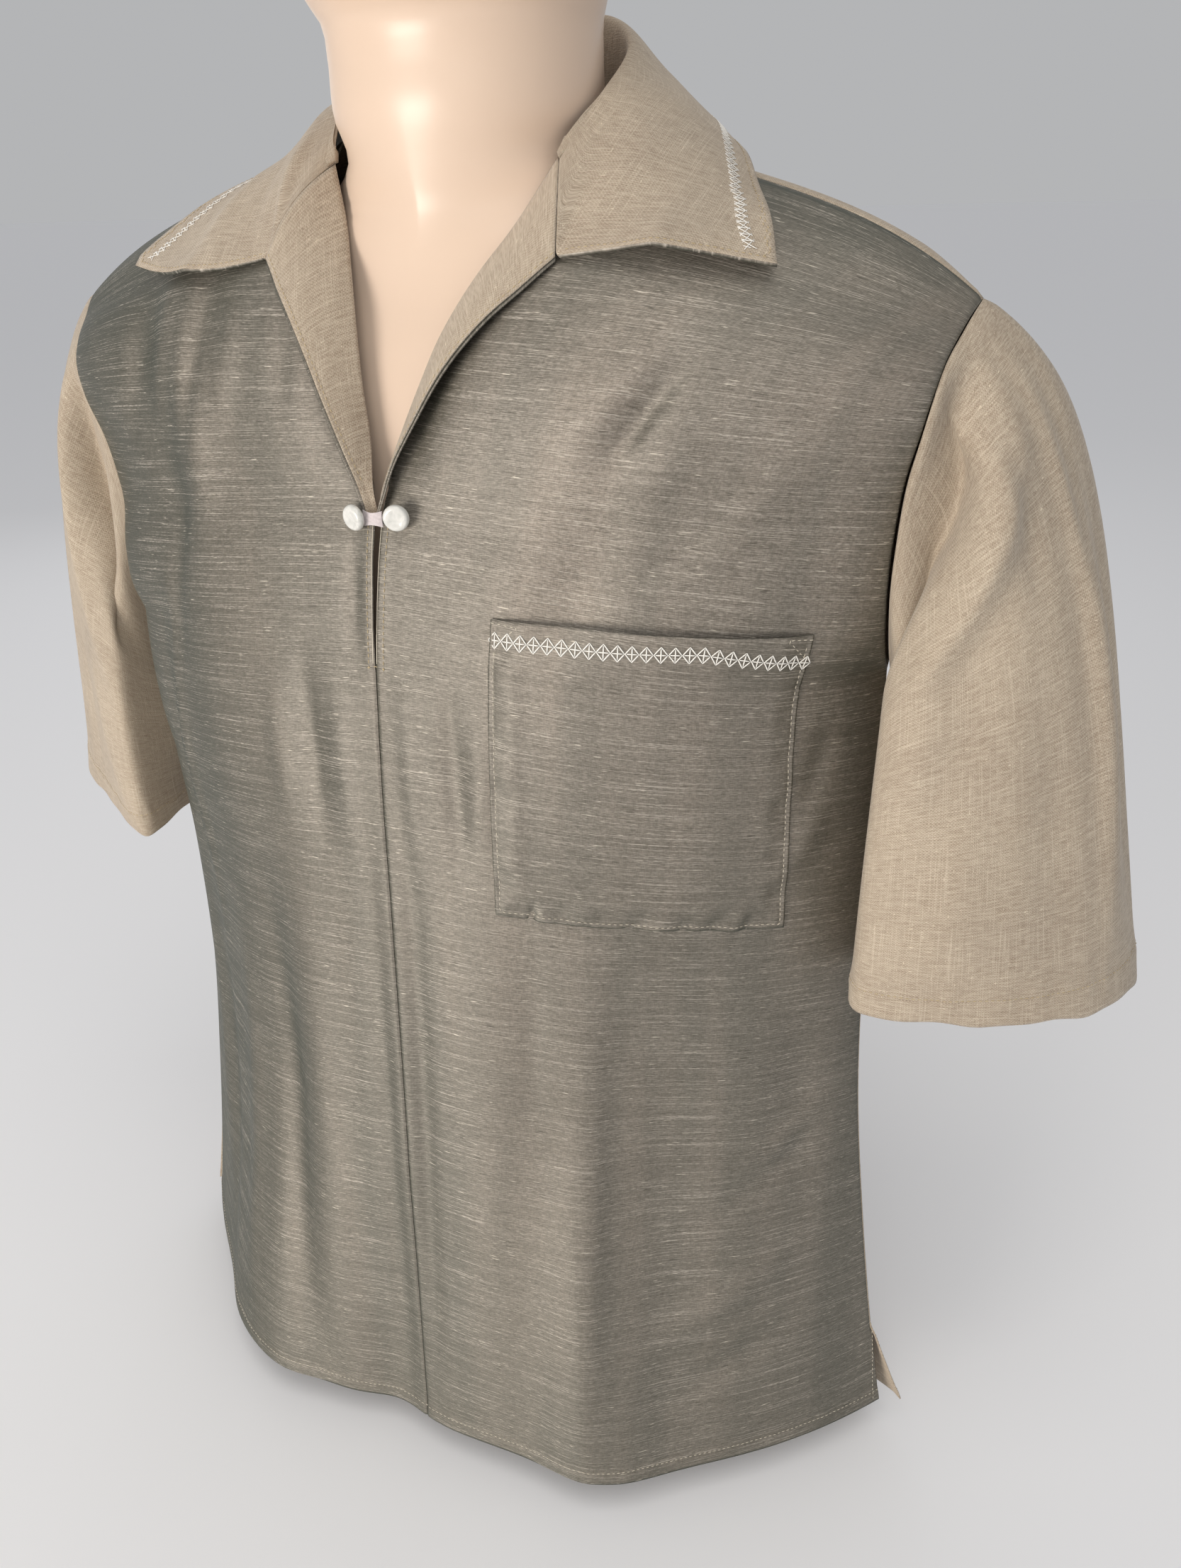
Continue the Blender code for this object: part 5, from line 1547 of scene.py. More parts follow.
@dataclass
class Pocket:
    """The patch pocket in slub: topstitched on three sides, embroidered under its mouth."""

    wall: float = 0.7 * MM
    rows: int = 92
    columns: int = 84
    stitch_in: float = 2.4 * MM
    crown: float = 1.1 * MM
    chain_pitch: float = 5.8 * MM
    sheet: Sheet = field(init=False)

    def build(self, front: FrontPanel, finishes: Wardrobe) -> bpy.types.Object:
        """Makes the pocket from points of the panel, moved out."""
        across = np.linspace(0.0, 1.0, self.columns)
        across = across - 0.5 * np.sin(2 * math.pi * across) / (2 * math.pi)
        up = np.linspace(0.0, 1.0, self.rows)
        side, rise = np.meshgrid(across, up)
        u = POCKET_LEFT + POCKET_WIDTH * side
        v = POCKET_BOTTOM + (POCKET_HEIGHT + POCKET_RISE * side) * rise
        points, normals = front.sheet.surface(u.ravel(), v.ravel(), 0.0)
        left, right = side * POCKET_WIDTH, (1.0 - side) * POCKET_WIDTH
        low = rise * POCKET_HEIGHT
        high = (1.0 - rise) * POCKET_HEIGHT
        edge = np.minimum(np.minimum(left, right), low)
        crown = self.crown * ease((edge - self.stitch_in) / 0.012)
        groove = -0.30 * MM * bump((edge - self.stitch_in) / (0.9 * MM))
        gape = POCKET_GAPE * 0.95 * rise**6 * np.sin(math.pi * side)
        hem = 0.35 * MM * (1.0 - ease((high - 0.022) / (1.5 * MM)))
        pucker = 0.45 * MM * (np.sin(left / 0.0031 + 1.0) + 0.7 * np.sin(left / 0.0057)) * bump(
            (low - 0.006) / 0.006)
        pucker = pucker + 0.4 * MM * (np.sin(low / 0.0036) + 0.6 * np.sin(low / 0.0062 + 2.0)) * (
            bump((left - 0.006) / 0.006) + bump((right - 0.006) / 0.006))
        fold = 1.0 * MM * bump((left - 0.009) / 0.006) * ease(high / 0.03) * ease(low / 0.03)
        for place, reach, half, deep in POCKET_NOTCHES:
            fold = fold - deep * bump((left - place - 0.25 * low) / half) * (1.0 - ease(low / reach))
        lift = 1.05 * MM + crown + groove + gape + hem + pucker * ease(high / 0.01) + fold
        grid = (points + normals * lift.ravel()[:, None]).reshape(self.rows, self.columns, 3)
        flat = np.stack([left + 0.371, v + 0.113], -1)
        self.sheet = Sheet(grid, flat, 1.0)
        thing = Piece.shell("pocket_patch", self.sheet, finishes.slub, self.wall)
        Piece.finish(thing, "slub", "pocket")
        Piece.declare(thing, self.sheet, "laid", ["front_panel_left"])
        return thing

    def _line(self, corners: Sequence[tuple[float, float]], lift: float = 0.12 * MM,
              step: float = 1.0 * MM) -> Path:
        """Path through corners given as distances from the pocket's left and lower edges."""
        marks = np.asarray(corners, float)
        run = np.r_[0.0, np.cumsum(np.linalg.norm(np.diff(marks, axis=0), axis=1))]
        query = np.linspace(0.0, run[-1], max(int(run[-1] / step), 2) + 1)
        left = np.interp(query, run, marks[:, 0])
        low = np.interp(query, run, marks[:, 1])
        columns = np.interp(left + 0.371, self.sheet.weave[0, :, 0], np.arange(self.columns))
        tall = POCKET_HEIGHT + POCKET_RISE * left / POCKET_WIDTH
        points, up = self.sheet.read(low / tall * (self.rows - 1), columns, lift)
        return Path(points, up)

    def dress(self, sewing: Seamstress, motif: bpy.types.Object, finishes: Wardrobe) -> None:
        """Topstitches the pocket and works its row of diamonds."""
        d, wide, tall = self.stitch_in, POCKET_WIDTH, POCKET_HEIGHT
        other = tall + POCKET_RISE
        rows = [
            self._line([(d, tall - 0.006), (d, d), (wide - d, d), (wide - d, other - 0.006)]),
            self._line([(d * 0.4, tall - 0.0015), (0.0125, tall - 0.0015), (d, tall - 0.0095)]),
            self._line([(wide - d * 0.4, other - 0.002), (wide - 0.0125, other - 0.002), (wide - d, other - 0.0095)]),
        ]
        sewing.stitch("pocket_stitches", rows, finishes.green_thread, "thread", seed=31)
        chain = self._line([(0.0022, tall - 0.0085), (0.04, tall - 0.0058), (0.09, tall + 0.0001),
                            (wide - 0.0015, other - 0.0118)], 0.25 * MM)
        sewing.embroider("pocket_diamonds", [chain], motif, finishes.white_floss, "thread",
                         self.chain_pitch, self.chain_pitch)


LAPEL_FOOT = Crossing(-0.13, (0.0012, -0.1180, 0.5475), (0.0024, -0.1216, 0.5470), 0.0000)
LAPEL_CLOSER = 1.8 * MM      # how much nearer the centre the lapels run below the throat


@dataclass
class Lapel:
    """A lapel: the slub front rolled back over its tan linen facing, with a slub lip."""

    side: Side
    wall: float = 0.9 * MM
    rows: int = 70
    columns: int = 22
    lip: float = 1.3 * MM
    sheet: Sheet = field(init=False)

    @staticmethod
    def cut(side: Side, share: np.ndarray, across: np.ndarray) -> np.ndarray:
        """Points of a lapel, from the slit up and from its roll line to its edge."""
        table = (LAPEL_FOOT, *LAPEL)
        keys = [c.share for c in table]
        roll = through(keys, [c.roll for c in table], share)
        edge = through(keys, [c.edge for c in table], share)
        swell = through(keys, [c.swell for c in table], share)
        if side is Side.LEFT:
            roll[:, 0] -= LAPEL_CLOSER * ease((0.66 - roll[:, 2]) / 0.05)
            edge[:, 0] -= LAPEL_CLOSER * ease((0.66 - edge[:, 2]) / 0.05)
        else:
            roll[:, 0] -= LAPEL_CLOSER * ease((0.605 - roll[:, 2]) / 0.04)
        t = across[None, :, None]
        grid = roll[:, None] + (edge - roll)[:, None] * t
        grid = grid + np.array([0.35, -0.75, 0.55]) * (swell[:, None, None] * 4 * t * (1 - t))
        return grid * np.array([side.value, 1.0, 1.0])

    def build(self, finishes: Wardrobe) -> bpy.types.Object:
        """Makes the lapel and its lip."""
        share = np.linspace(LAPEL_FOOT.share, 1.0, self.rows)
        grid = self.cut(self.side, share, np.linspace(0.0, 1.0, self.columns))
        width = np.linalg.norm(grid[:, -1] - grid[:, 0], axis=-1)
        run = np.r_[0.0, np.cumsum(np.linalg.norm(np.diff(grid[:, -1], axis=0), axis=-1))]
        u = np.linspace(0.0, 1.0, self.columns)[None] * width[:, None]
        flat = np.stack([u + 0.21, np.repeat(run[:, None], self.columns, 1)], -1)
        sheet = Sheet(grid, flat, float(self.side.value))
        edge = width[:, None] - u
        relief = -0.25 * MM * bump((edge - 2.6 * MM) / (0.9 * MM)) + 0.2 * MM * ease((3.4 * MM - edge) / MM)
        wave = 0.5 * MM * np.sin(run / 0.011 + self.side.value)[:, None] * ease(u / 0.01)
        sheet = sheet.moved(relief + wave * ease((1.0 - share) / 0.1)[:, None])
        sheet.points[-1] += unit(sheet.points[-2] - sheet.points[-1]) * 0.35 * MM
        self.sheet = sheet
        word = self.side.word
        thing = Piece.shell(f"lapel_facing_{word}", sheet, finishes.linen, self.wall, finishes.slub)
        Piece.finish(thing, "linen", f"lapel_{word}")
        Piece.declare(thing, sheet, "folded", [f"front_panel_{word}"])
        self._lip(finishes)
        return thing

    def _lip(self, finishes: Wardrobe) -> None:
        """The slub that shows as a narrow lip beyond the tan edge."""
        across = unit(self.sheet.points[:, -1] - self.sheet.points[:, -3])
        start = self.sheet.points[:, -1] - self.sheet.normals()[:, -1] * 0.75 * MM
        reach = self.lip * ease(np.linspace(0.0, 1.0, self.rows) / 0.08)
        steps = np.linspace(-1.4 * MM, 1.0, 5)
        grid = np.stack([start + across * (-1.4 * MM + (reach + 1.4 * MM)[:, None] * s)
                         for s in np.linspace(0.0, 1.0, len(steps))], axis=1)
        run = self.sheet.weave[:, :1, 1]
        u = np.linspace(0.0, 1.0, len(steps))[None] * (self.lip + 1.4 * MM)
        flat = np.stack(np.broadcast_arrays(u, run), -1).copy()
        strip = Sheet(grid, flat, float(self.side.value))
        word = self.side.word
        thing = Piece.shell(f"lapel_lip_{word}", strip, finishes.slub, 0.8 * MM)
        Piece.finish(thing, "slub")

    def dress(self, sewing: Seamstress, finishes: Wardrobe) -> None:
        """Topstitches the lapel's edge."""
        share = np.linspace(0.05, 0.985, 120)
        width = self.sheet.weave[:, -1, 0] - 0.21
        here = np.interp(share, np.linspace(LAPEL_FOOT.share, 1.0, self.rows), width)
        columns = (1.0 - 2.6 * MM / np.maximum(here, 3.2 * MM)) * (self.columns - 1)
        rows = (share - LAPEL_FOOT.share) / (1.0 - LAPEL_FOOT.share) * (self.rows - 1)
        points, up = self.sheet.read(rows, columns, 0.12 * MM)
        sewing.stitch(f"lapel_stitches_{self.side.word}", [Path(points, up)], finishes.tan_thread,
                      "thread", seed=41 + self.side.value)


@dataclass
class Collar:
    """The camp collar: tan linen above, slub below, topstitched and embroidered."""

    wall: float = 1.5 * MM
    half_rows: int = 96
    columns: int = 72
    stitch_in: float = 2.9 * MM
    chain_in: float = 12.0 * MM
    chain_pitch: float = 5.2 * MM
    sheet: Sheet = field(init=False)

    def _half(self, side: Side) -> np.ndarray:
        """Half of the collar, from the centre back to its front end, neck seam to edge."""
        share = np.linspace(0.0, 1.0, self.half_rows) ** 0.94
        across = np.linspace(0.0, 1.0, self.columns)
        knots = [COLLAR_SEAM, COLLAR_ROLL, COLLAR_BODY, COLLAR_LOW, 1.0]
        rings = [through(knots, np.array(c[1:]), across) for c in COLLAR[:-1]]
        end = COLLAR[-1]
        gorge = Lapel.cut(Side.LEFT, np.array([0.99, 1.0]), np.linspace(0.0, 1.0, 24))[-1]
        front = np.concatenate([[end.seam], gorge, [end.low, end.edge]])
        marks = np.r_[0.0, np.linspace(COLLAR_ROLL, COLLAR_BODY, len(gorge)), COLLAR_LOW, 1.0]
        rings.append(np.stack([np.interp(across, marks, front[:, k]) for k in range(3)], -1))
        grid = through([c.share for c in COLLAR], np.array(rings), share)
        if side is Side.RIGHT:
            over = np.sin(np.clip((share - 0.25) / 0.75, 0.0, 1.0) * math.pi)[:, None]
            leaf = np.sin(np.clip((across - 0.46) / 0.50, 0.0, 1.0) * math.pi)[None]
            grid[..., 2] -= COLLAR_SETTLE * over * leaf
            near = np.clip((share - 0.80) / 0.20, 0.0, 1.0)[:, None]
            hang = np.sin(np.clip((across - COLLAR_BODY) / (1.0 - COLLAR_BODY), 0.0, 1.0) * math.pi)[None]
            grid += np.array(COLLAR_SAG) * (near * hang)[..., None]
        return grid * np.array([side.value, 1.0, 1.0])

    def build(self, finishes: Wardrobe) -> bpy.types.Object:
        """Makes the collar."""
        grid = np.concatenate([self._half(Side.RIGHT)[:0:-1], self._half(Side.LEFT)])
        step = np.linalg.norm(np.diff(grid, axis=1), axis=-1)
        u = np.concatenate([np.zeros((len(grid), 1)), np.cumsum(step, axis=1)], axis=1)
        run = np.r_[0.0, np.cumsum(np.linalg.norm(np.diff(grid, axis=0), axis=-1).mean(1))]
        flat = np.stack([u + 0.55, np.repeat(run[:, None], self.columns, 1)], -1)
        sheet = Sheet(grid, flat, -1.0)
        edge = self._edge_distance(sheet)
        relief = 0.35 * MM * ease((3.6 * MM - edge) / MM) - 0.35 * MM * bump((edge - self.stitch_in) / MM)
        share = np.abs(np.linspace(-1.0, 1.0, len(grid)))[:, None]
        leaf = ease((u / u[:, -1:] - 0.42) / 0.2)
        wave = 0.7 * MM * (np.sin(run[:, None] / 0.0125) + 0.6 * np.sin(run[:, None] / 0.0072 + 1.0))
        fall = wave * bump(edge / 0.010) * leaf + 0.8 * MM * np.sin(run[:, None] / 0.030 + u / 0.02) * leaf
        sheet = sheet.moved((relief + fall) * ease((1.0 - share) / 0.02 + (edge > 0) * 0.15))
        pinned = ease((np.linspace(0.0, 1.0, self.columns) - 0.36) / 0.08) * ease((1.0 - share) / 0.03)
        sheet = sheet.creased(COLLAR_CREASES, pinned)
        for end, inner in ((0, 1), (-1, -2)):
            sheet.points[end] += unit(sheet.points[inner] - sheet.points[end]) * 0.5 * MM
        self.sheet = sheet
        cloth = Sheet(sheet.points, self._grain(grid, flat), -1.0)
        thing = Piece.shell("collar_leaf", cloth, finishes.linen, self.wall, finishes.slub)
        for _ in range(2):
            thing.data.materials.append(finishes.linen)
        stand = (share > 0.75) & (np.linspace(0.0, 1.0, self.columns) < COLLAR_BODY)
        thing.data.polygons.foreach_set("material_index", np.where(stand[:-1, :-1], 2, 0).ravel().astype(np.int32))
        Piece.finish(thing, "linen", "collar")
        Piece.declare(thing, sheet, "folded", ["front_panel_left", "front_panel_right", "back_panel"])
        return thing

    def _grain(self, grid: np.ndarray, flat: np.ndarray) -> np.ndarray:
        """Coordinates of the weave, with the grain straight across the front of each leaf."""
        across = np.linspace(0.0, 1.0, self.columns)
        middle, body = self.half_rows - 1, int(COLLAR_BODY * self.columns)
        low = int(COLLAR_LOW * self.columns)
        grain = flat.copy()
        for side in Side:
            share = side.value * np.linspace(-1.0, 1.0, len(grid))
            row = middle + side.value * int(0.60 * middle)
            tip = middle + side.value * middle
            down = unit(grid[row, -1] - grid[row, body])
            ahead = grid[tip, low] - grid[row, low]
            ahead = unit(ahead - down * np.dot(ahead, down)) * side.value
            away = grid - grid[row, low]
            plane = np.stack([away @ down, away @ ahead], -1) + flat[row, low]
            take = ease((share - 0.50) / 0.22)[:, None] * ease((across - 0.36) / 0.12)
            grain += (plane - flat) * take[..., None]
        return grain

    def _edge_distance(self, sheet: Sheet) -> np.ndarray:
        """Distance of each point from the collar's outer edge or its free front edges."""
        u = sheet.weave[..., 0]
        outer = u[:, -1:] - u
        ends = np.full(u.shape, 1.0)
        run = np.linalg.norm(np.diff(sheet.points, axis=0), axis=-1)
        first = np.concatenate([np.zeros((1, u.shape[1])), np.cumsum(run, axis=0)])
        last = first[-1:] - first
        free = np.linspace(0.0, 1.0, u.shape[1]) > COLLAR_BODY
        ends[:, free] = np.minimum(first, last)[:, free]
        return np.minimum(outer, ends)

    def _along(self, side: Side, inside: float, first: float, last: float, lift: float) -> Path:
        """Path at a distance inside the outer edge, between shares from the back to the front."""
        share = np.linspace(first, last, 160)
        middle = self.half_rows - 1
        rows = middle + side.value * share * (self.half_rows - 1)
        width = self.sheet.weave[..., 0] - 0.55
        total = np.interp(rows, np.arange(len(width)), width[:, -1])
        i = np.clip(np.round(rows).astype(int), 0, len(width) - 1)
        columns = np.array([np.interp(w - inside, width[k], np.arange(self.columns))
                            for w, k in zip(total, i)])
        points, up = self.sheet.read(rows, columns, lift)
        return Path(points, up)

    def dress(self, sewing: Seamstress, motif: bpy.types.Object, finishes: Wardrobe) -> None:
        """Topstitches the collar's edges and works the chains near its outer edge."""
        rows, chains = [], []
        for side in Side:
            rows.append(self._along(side, self.stitch_in, 0.0, 0.985, 0.12 * MM))
            chains.append(self._along(side, self.chain_in, 0.03, 0.972, 0.2 * MM))
            across = np.linspace(COLLAR_BODY + 0.02, 0.975, 80) * (self.columns - 1)
            run = np.linalg.norm(np.diff(self.sheet.points, axis=0), axis=-1)
            ends = np.cumsum(run[::-1] if side is Side.LEFT else run, axis=0)
            back = np.array([np.interp(self.stitch_in, np.r_[0.0, ends[:, int(c)]],
                                       np.arange(len(ends) + 1)) for c in across])
            line = len(ends) - back if side is Side.LEFT else back
            points, up = self.sheet.read(line, across, 0.12 * MM)
            rows.append(Path(points, up))
        sewing.stitch("collar_stitches", rows, finishes.tan_thread, "thread", seed=51)
        sewing.embroider("collar_chain", chains, motif, finishes.white_floss, "thread",
                         self.chain_pitch, self.chain_pitch)


class Motifs:
    """Embroidered motifs of straight satin stitches, one unit long, that the chains repeat."""

    @staticmethod
    def _make(name: str, strokes: Sequence[tuple[float, float, float, float]], thick: float) -> bpy.types.Object:
        """Motif of straight strokes."""
        verts, faces = [], []
        for x_0, y_0, x_1, y_1 in strokes:
            t = np.linspace(0.0, 1.0, 5)[:, None]
            line = np.array([x_0, y_0, 0.0]) * (1 - t) + np.array([x_1, y_1, 0.0]) * t
            made, skin = Piece.tube(line, thick * np.array([0.7, 1.0, 1.0, 1.0, 0.7]), 6, 0.7,
                                    np.array([0.0, 0.0, 1.0]))
            first = sum(len(v) for v in verts)
            verts.append(made)
            faces += [[first + k for k in face] for face in skin]
        mesh = bpy.data.meshes.new(name)
        mesh.from_pydata(np.concatenate(verts).tolist(), [], faces)
        mesh.shade_smooth()
        thing = bpy.data.objects.new(name, mesh)
        bpy.context.scene.collection.objects.link(thing)
        return thing

    @classmethod
    def diamond(cls) -> bpy.types.Object:
        """Diamond with a small cross inside it."""
        x, y = 0.52, 0.64
        return cls._make("motif_diamond", [(-x, 0, 0, y), (0, y, x, 0), (x, 0, 0, -y), (0, -y, -x, 0),
                                           (-0.40, 0, 0.40, 0), (0, -0.5, 0, 0.5)], 0.052)

    @classmethod
    def cross(cls) -> bpy.types.Object:
        """Zigzag of crossed strokes with a bar between."""
        x, y = 0.50, 0.50
        return cls._make("motif_cross", [(-x, -y, x, y), (-x, y, x, -y), (-x, -y, -0.36, y),
                                         (0.10, -y, 0.36, 0.1)], 0.046)


@dataclass
class Button:
    """A mother-of-pearl shank button, turned, with a shallow dish and a soft rim."""

    side: Side
    place: tuple[float, float, float] = (0.0, -0.1245, 0.5500)
    pitch_deg: float = 96.0
    sides: int = 48

    def build(self, finishes: Wardrobe) -> bpy.types.Object:
        """Makes the button, turned as it hangs."""
        r, d = BUTTON_RADIUS, BUTTON_DEPTH
        outline = [(0.0, 0.22 * d), (0.25 * r, 0.22 * d), (0.50 * r, 0.24 * d), (0.66 * r, 0.29 * d),
                   (0.80 * r, 0.28 * d), (0.91 * r, 0.16 * d), (0.98 * r, -0.06 * d), (r, -0.26 * d),
                   (0.97 * r, -0.44 * d), (0.88 * r, -0.56 * d), (0.66 * r, -0.66 * d), (0.38 * r, -0.72 * d),
                   (0.27 * r, -0.80 * d), (0.25 * r, -0.95 * d), (0.18 * r, -d), (0.0, -d)]
        angle = np.arange(self.sides) / self.sides * 2 * math.pi
        rings = np.array([[(x * math.cos(a), x * math.sin(a), z) for a in angle] for x, z in outline[1:-1]])
        verts = [(0.0, 0.0, outline[0][1])] + rings.reshape(-1, 3).tolist() + [(0.0, 0.0, outline[-1][1])]
        n, count = self.sides, len(outline) - 2
        faces = [[0, 1 + j, 1 + (j + 1) % n] for j in range(n)]
        faces += [[1 + i * n + j, 1 + (i + 1) * n + j, 1 + (i + 1) * n + (j + 1) % n, 1 + i * n + (j + 1) % n]
                  for i in range(count - 1) for j in range(n)]
        last = 1 + (count - 1) * n
        faces += [[len(verts) - 1, last + (j + 1) % n, last + j] for j in range(n)]
        left = self.side is Side.LEFT
        yaw = math.radians(18.0 if left else -16.0)
        place = (13.0 * MM if left else -8.8 * MM, self.place[1], self.place[2] - (0.0 if left else 1.3 * MM))
        turn = Matrix.Translation(place) @ Matrix.Rotation(yaw, 4, "Z") @ Matrix.Rotation(
            math.radians(self.pitch_deg), 4, "X")
        points = [tuple(turn @ Vector(v)) for v in verts]
        thing = Piece.mesh(f"pearl_button_{self.side.word}", points, faces, finishes.pearl)
        Piece.finish(thing, "pearl", f"button_{self.side.word}")
        return thing


@dataclass
class ThreadBar:
    """The worked bar between the buttons: strands laid side by side, drawn in at the middle."""

    strands: int = 17
    spread: float = 3.3 * MM
    waist: float = 0.74
    strand: float = 0.24 * MM
    middle: float = -0.6 * MM
    half: float = 4.8 * MM

    def build(self, finishes: Wardrobe) -> bpy.types.Object:
        """Makes the strands as one piece."""
        verts, faces = [], []
        off = np.linspace(-1.0, 1.0, 25)
        x = self.middle + self.half * off
        for k, level in enumerate(np.linspace(-1.0, 1.0, self.strands)):
            draw = self.waist + (1.0 - self.waist) * np.abs(off) ** 1.6
            z = 0.5483 + self.spread * level * draw
            y = -0.1212 - 1.15 * MM * (1.0 - off**2) + 0.35 * MM * level**2
            y = y + 0.06 * MM * np.sin(x / (0.8 * MM) + k)
            made, skin = Piece.tube(np.stack([x, y, z], -1), np.full(len(x), self.strand), 7)
            first = sum(len(v) for v in verts)
            verts.append(made)
            faces += [[first + i for i in face] for face in skin]
        thing = Piece.mesh("button_thread_bar", np.concatenate(verts), faces, finishes.bar)
        Piece.finish(thing, "thread", "thread_bar")
        return thing


@dataclass
class TorsoForm:
    """The smooth limbless form that wears the shirt."""

    sides: int = 112
    rings: int = 150
    chest: float = 6.0 * MM

    def build(self, finishes: Wardrobe) -> bpy.types.Object:
        """Makes the form, closed above and below."""
        table = np.array(FORM, float)
        z = np.linspace(0.0, table[-1, 0], self.rings)
        level = through(table[:, 0], table[:, 1:], z)
        angle = np.arange(self.sides) / self.sides * 2 * math.pi
        middle = -0.010
        c, s = np.cos(angle), np.sin(angle)
        rings = []
        for height, (half, front, back, power) in zip(z, level):
            x = half * np.sign(s) * np.abs(s) ** (2 / power)
            reach = np.where(c > 0, middle - front, back - middle)
            y = middle - reach * np.sign(c) * np.abs(c) ** (2 / power)
            y = y - self.chest * bump((height - 0.592) / 0.050) * bump(x / 0.07) * (c > 0)
            rings.append(np.stack([x, y, np.full_like(x, height)], -1))
        verts = np.array(rings).reshape(-1, 3)
        n = self.sides
        faces = [[i * n + j, i * n + (j + 1) % n, (i + 1) * n + (j + 1) % n, (i + 1) * n + j]
                 for i in range(self.rings - 1) for j in range(n)]
        faces += [list(range(n))[::-1], [(self.rings - 1) * n + j for j in range(n)]]
        thing = Piece.mesh("form_skin", verts, faces, finishes.skin)
        thing.data.set_sharp_from_angle(angle=math.radians(50))
        soft = thing.modifiers.new("rim", "BEVEL")
        soft.width = 2.5 * MM
        soft.segments = 3
        soft.limit_method = "ANGLE"
        soft.angle_limit = math.radians(50)
        Piece.finish(thing, "form", "torso_form")
        return thing


# --------------------------------------------------------------------------- studio
@dataclass(frozen=True)
class Lamp:
    """A soft rectangular lamp aimed at the chest."""

    name: str
    place: tuple[float, float, float]
    size: tuple[float, float]
    watts: float
    colour: str = "#FFFFFF"


@dataclass
class Studio:
    """Pale floor, pale surroundings, soft lamps and the camera."""

    aim: tuple[float, float, float] = (0.0, -0.05, 0.42)
    eye: tuple[float, float, float] = (0.286, -0.553, 0.673)
    yaw_deg: float = 23.51
    pitch_deg: float = 26.57
    roll_deg: float = -1.57
    focal_px: float = 1679.0
    frame_px: float = 2212.0
    lamps: Sequence[Lamp] = (
        Lamp("key", (-0.68, -2.03, 0.30), (1.1, 0.7), 33.0, "#FFF8EF"),
        Lamp("fill", (0.8, -1.9, 1.5), (1.2, 1.2), 4.0, "#FFFCF6"),
        Lamp("overhead", (0.35, -0.65, 2.3), (1.4, 1.4), 11.0, "#FFFAF2"),
        Lamp("behind", (-1.2, 1.6, 1.3), (1.8, 1.4), 4.0),
    )

    def build(self) -> None:
        """Sets the floor, the world, the lamps and the camera."""
        floor = Piece.mesh("studio_floor", np.array([(-40, -40, 0), (40, -40, 0), (40, 40, 0), (-40, 40, 0)], float),
                           [[0, 1, 2, 3]], StudioPaper().make())
        world = bpy.data.worlds.new("studio_air")
        world.use_nodes = True
        air = world.node_tree.nodes["Background"]
        air.inputs["Color"].default_value = linear("#E9EAEC")
        air.inputs["Strength"].default_value = 0.56
        bpy.context.scene.world = world
        bpy.context.scene.view_settings.view_transform = "Standard"
        for lamp in self.lamps:
            light = bpy.data.lights.new(lamp.name, "AREA")
            light.shape = "RECTANGLE"
            light.size, light.size_y = lamp.size
            light.energy = lamp.watts
            light.color = linear(lamp.colour)[:3]
            thing = bpy.data.objects.new(lamp.name, light)
            toward = Vector(self.aim) - Vector(lamp.place)
            thing.matrix_world = Matrix.Translation(lamp.place) @ toward.to_track_quat("-Z", "Y").to_matrix().to_4x4()
            bpy.context.scene.collection.objects.link(thing)
        self._camera()

    def _camera(self) -> None:
        """Camera at the photograph's viewing angle."""
        yaw, pitch, roll = (math.radians(a) for a in (self.yaw_deg, self.pitch_deg, self.roll_deg))
        ahead = Vector((-math.sin(yaw) * math.cos(pitch), math.cos(yaw) * math.cos(pitch), -math.sin(pitch)))
        level = Vector((math.cos(yaw), math.sin(yaw), 0.0))
        rise = level.cross(ahead)
        right = level * math.cos(roll) + rise * math.sin(roll)
        up = rise * math.cos(roll) - level * math.sin(roll)
        lens = bpy.data.cameras.new("viewpoint")
        lens.sensor_width = 36.0
        lens.lens = self.focal_px / self.frame_px * lens.sensor_width
        lens.clip_start = 0.02
        camera = bpy.data.objects.new("viewpoint", lens)
        turn = Matrix((right, up, -ahead)).transposed().to_4x4()
        camera.matrix_world = Matrix.Translation(self.eye) @ turn
        bpy.context.scene.collection.objects.link(camera)
        bpy.context.scene.camera = camera


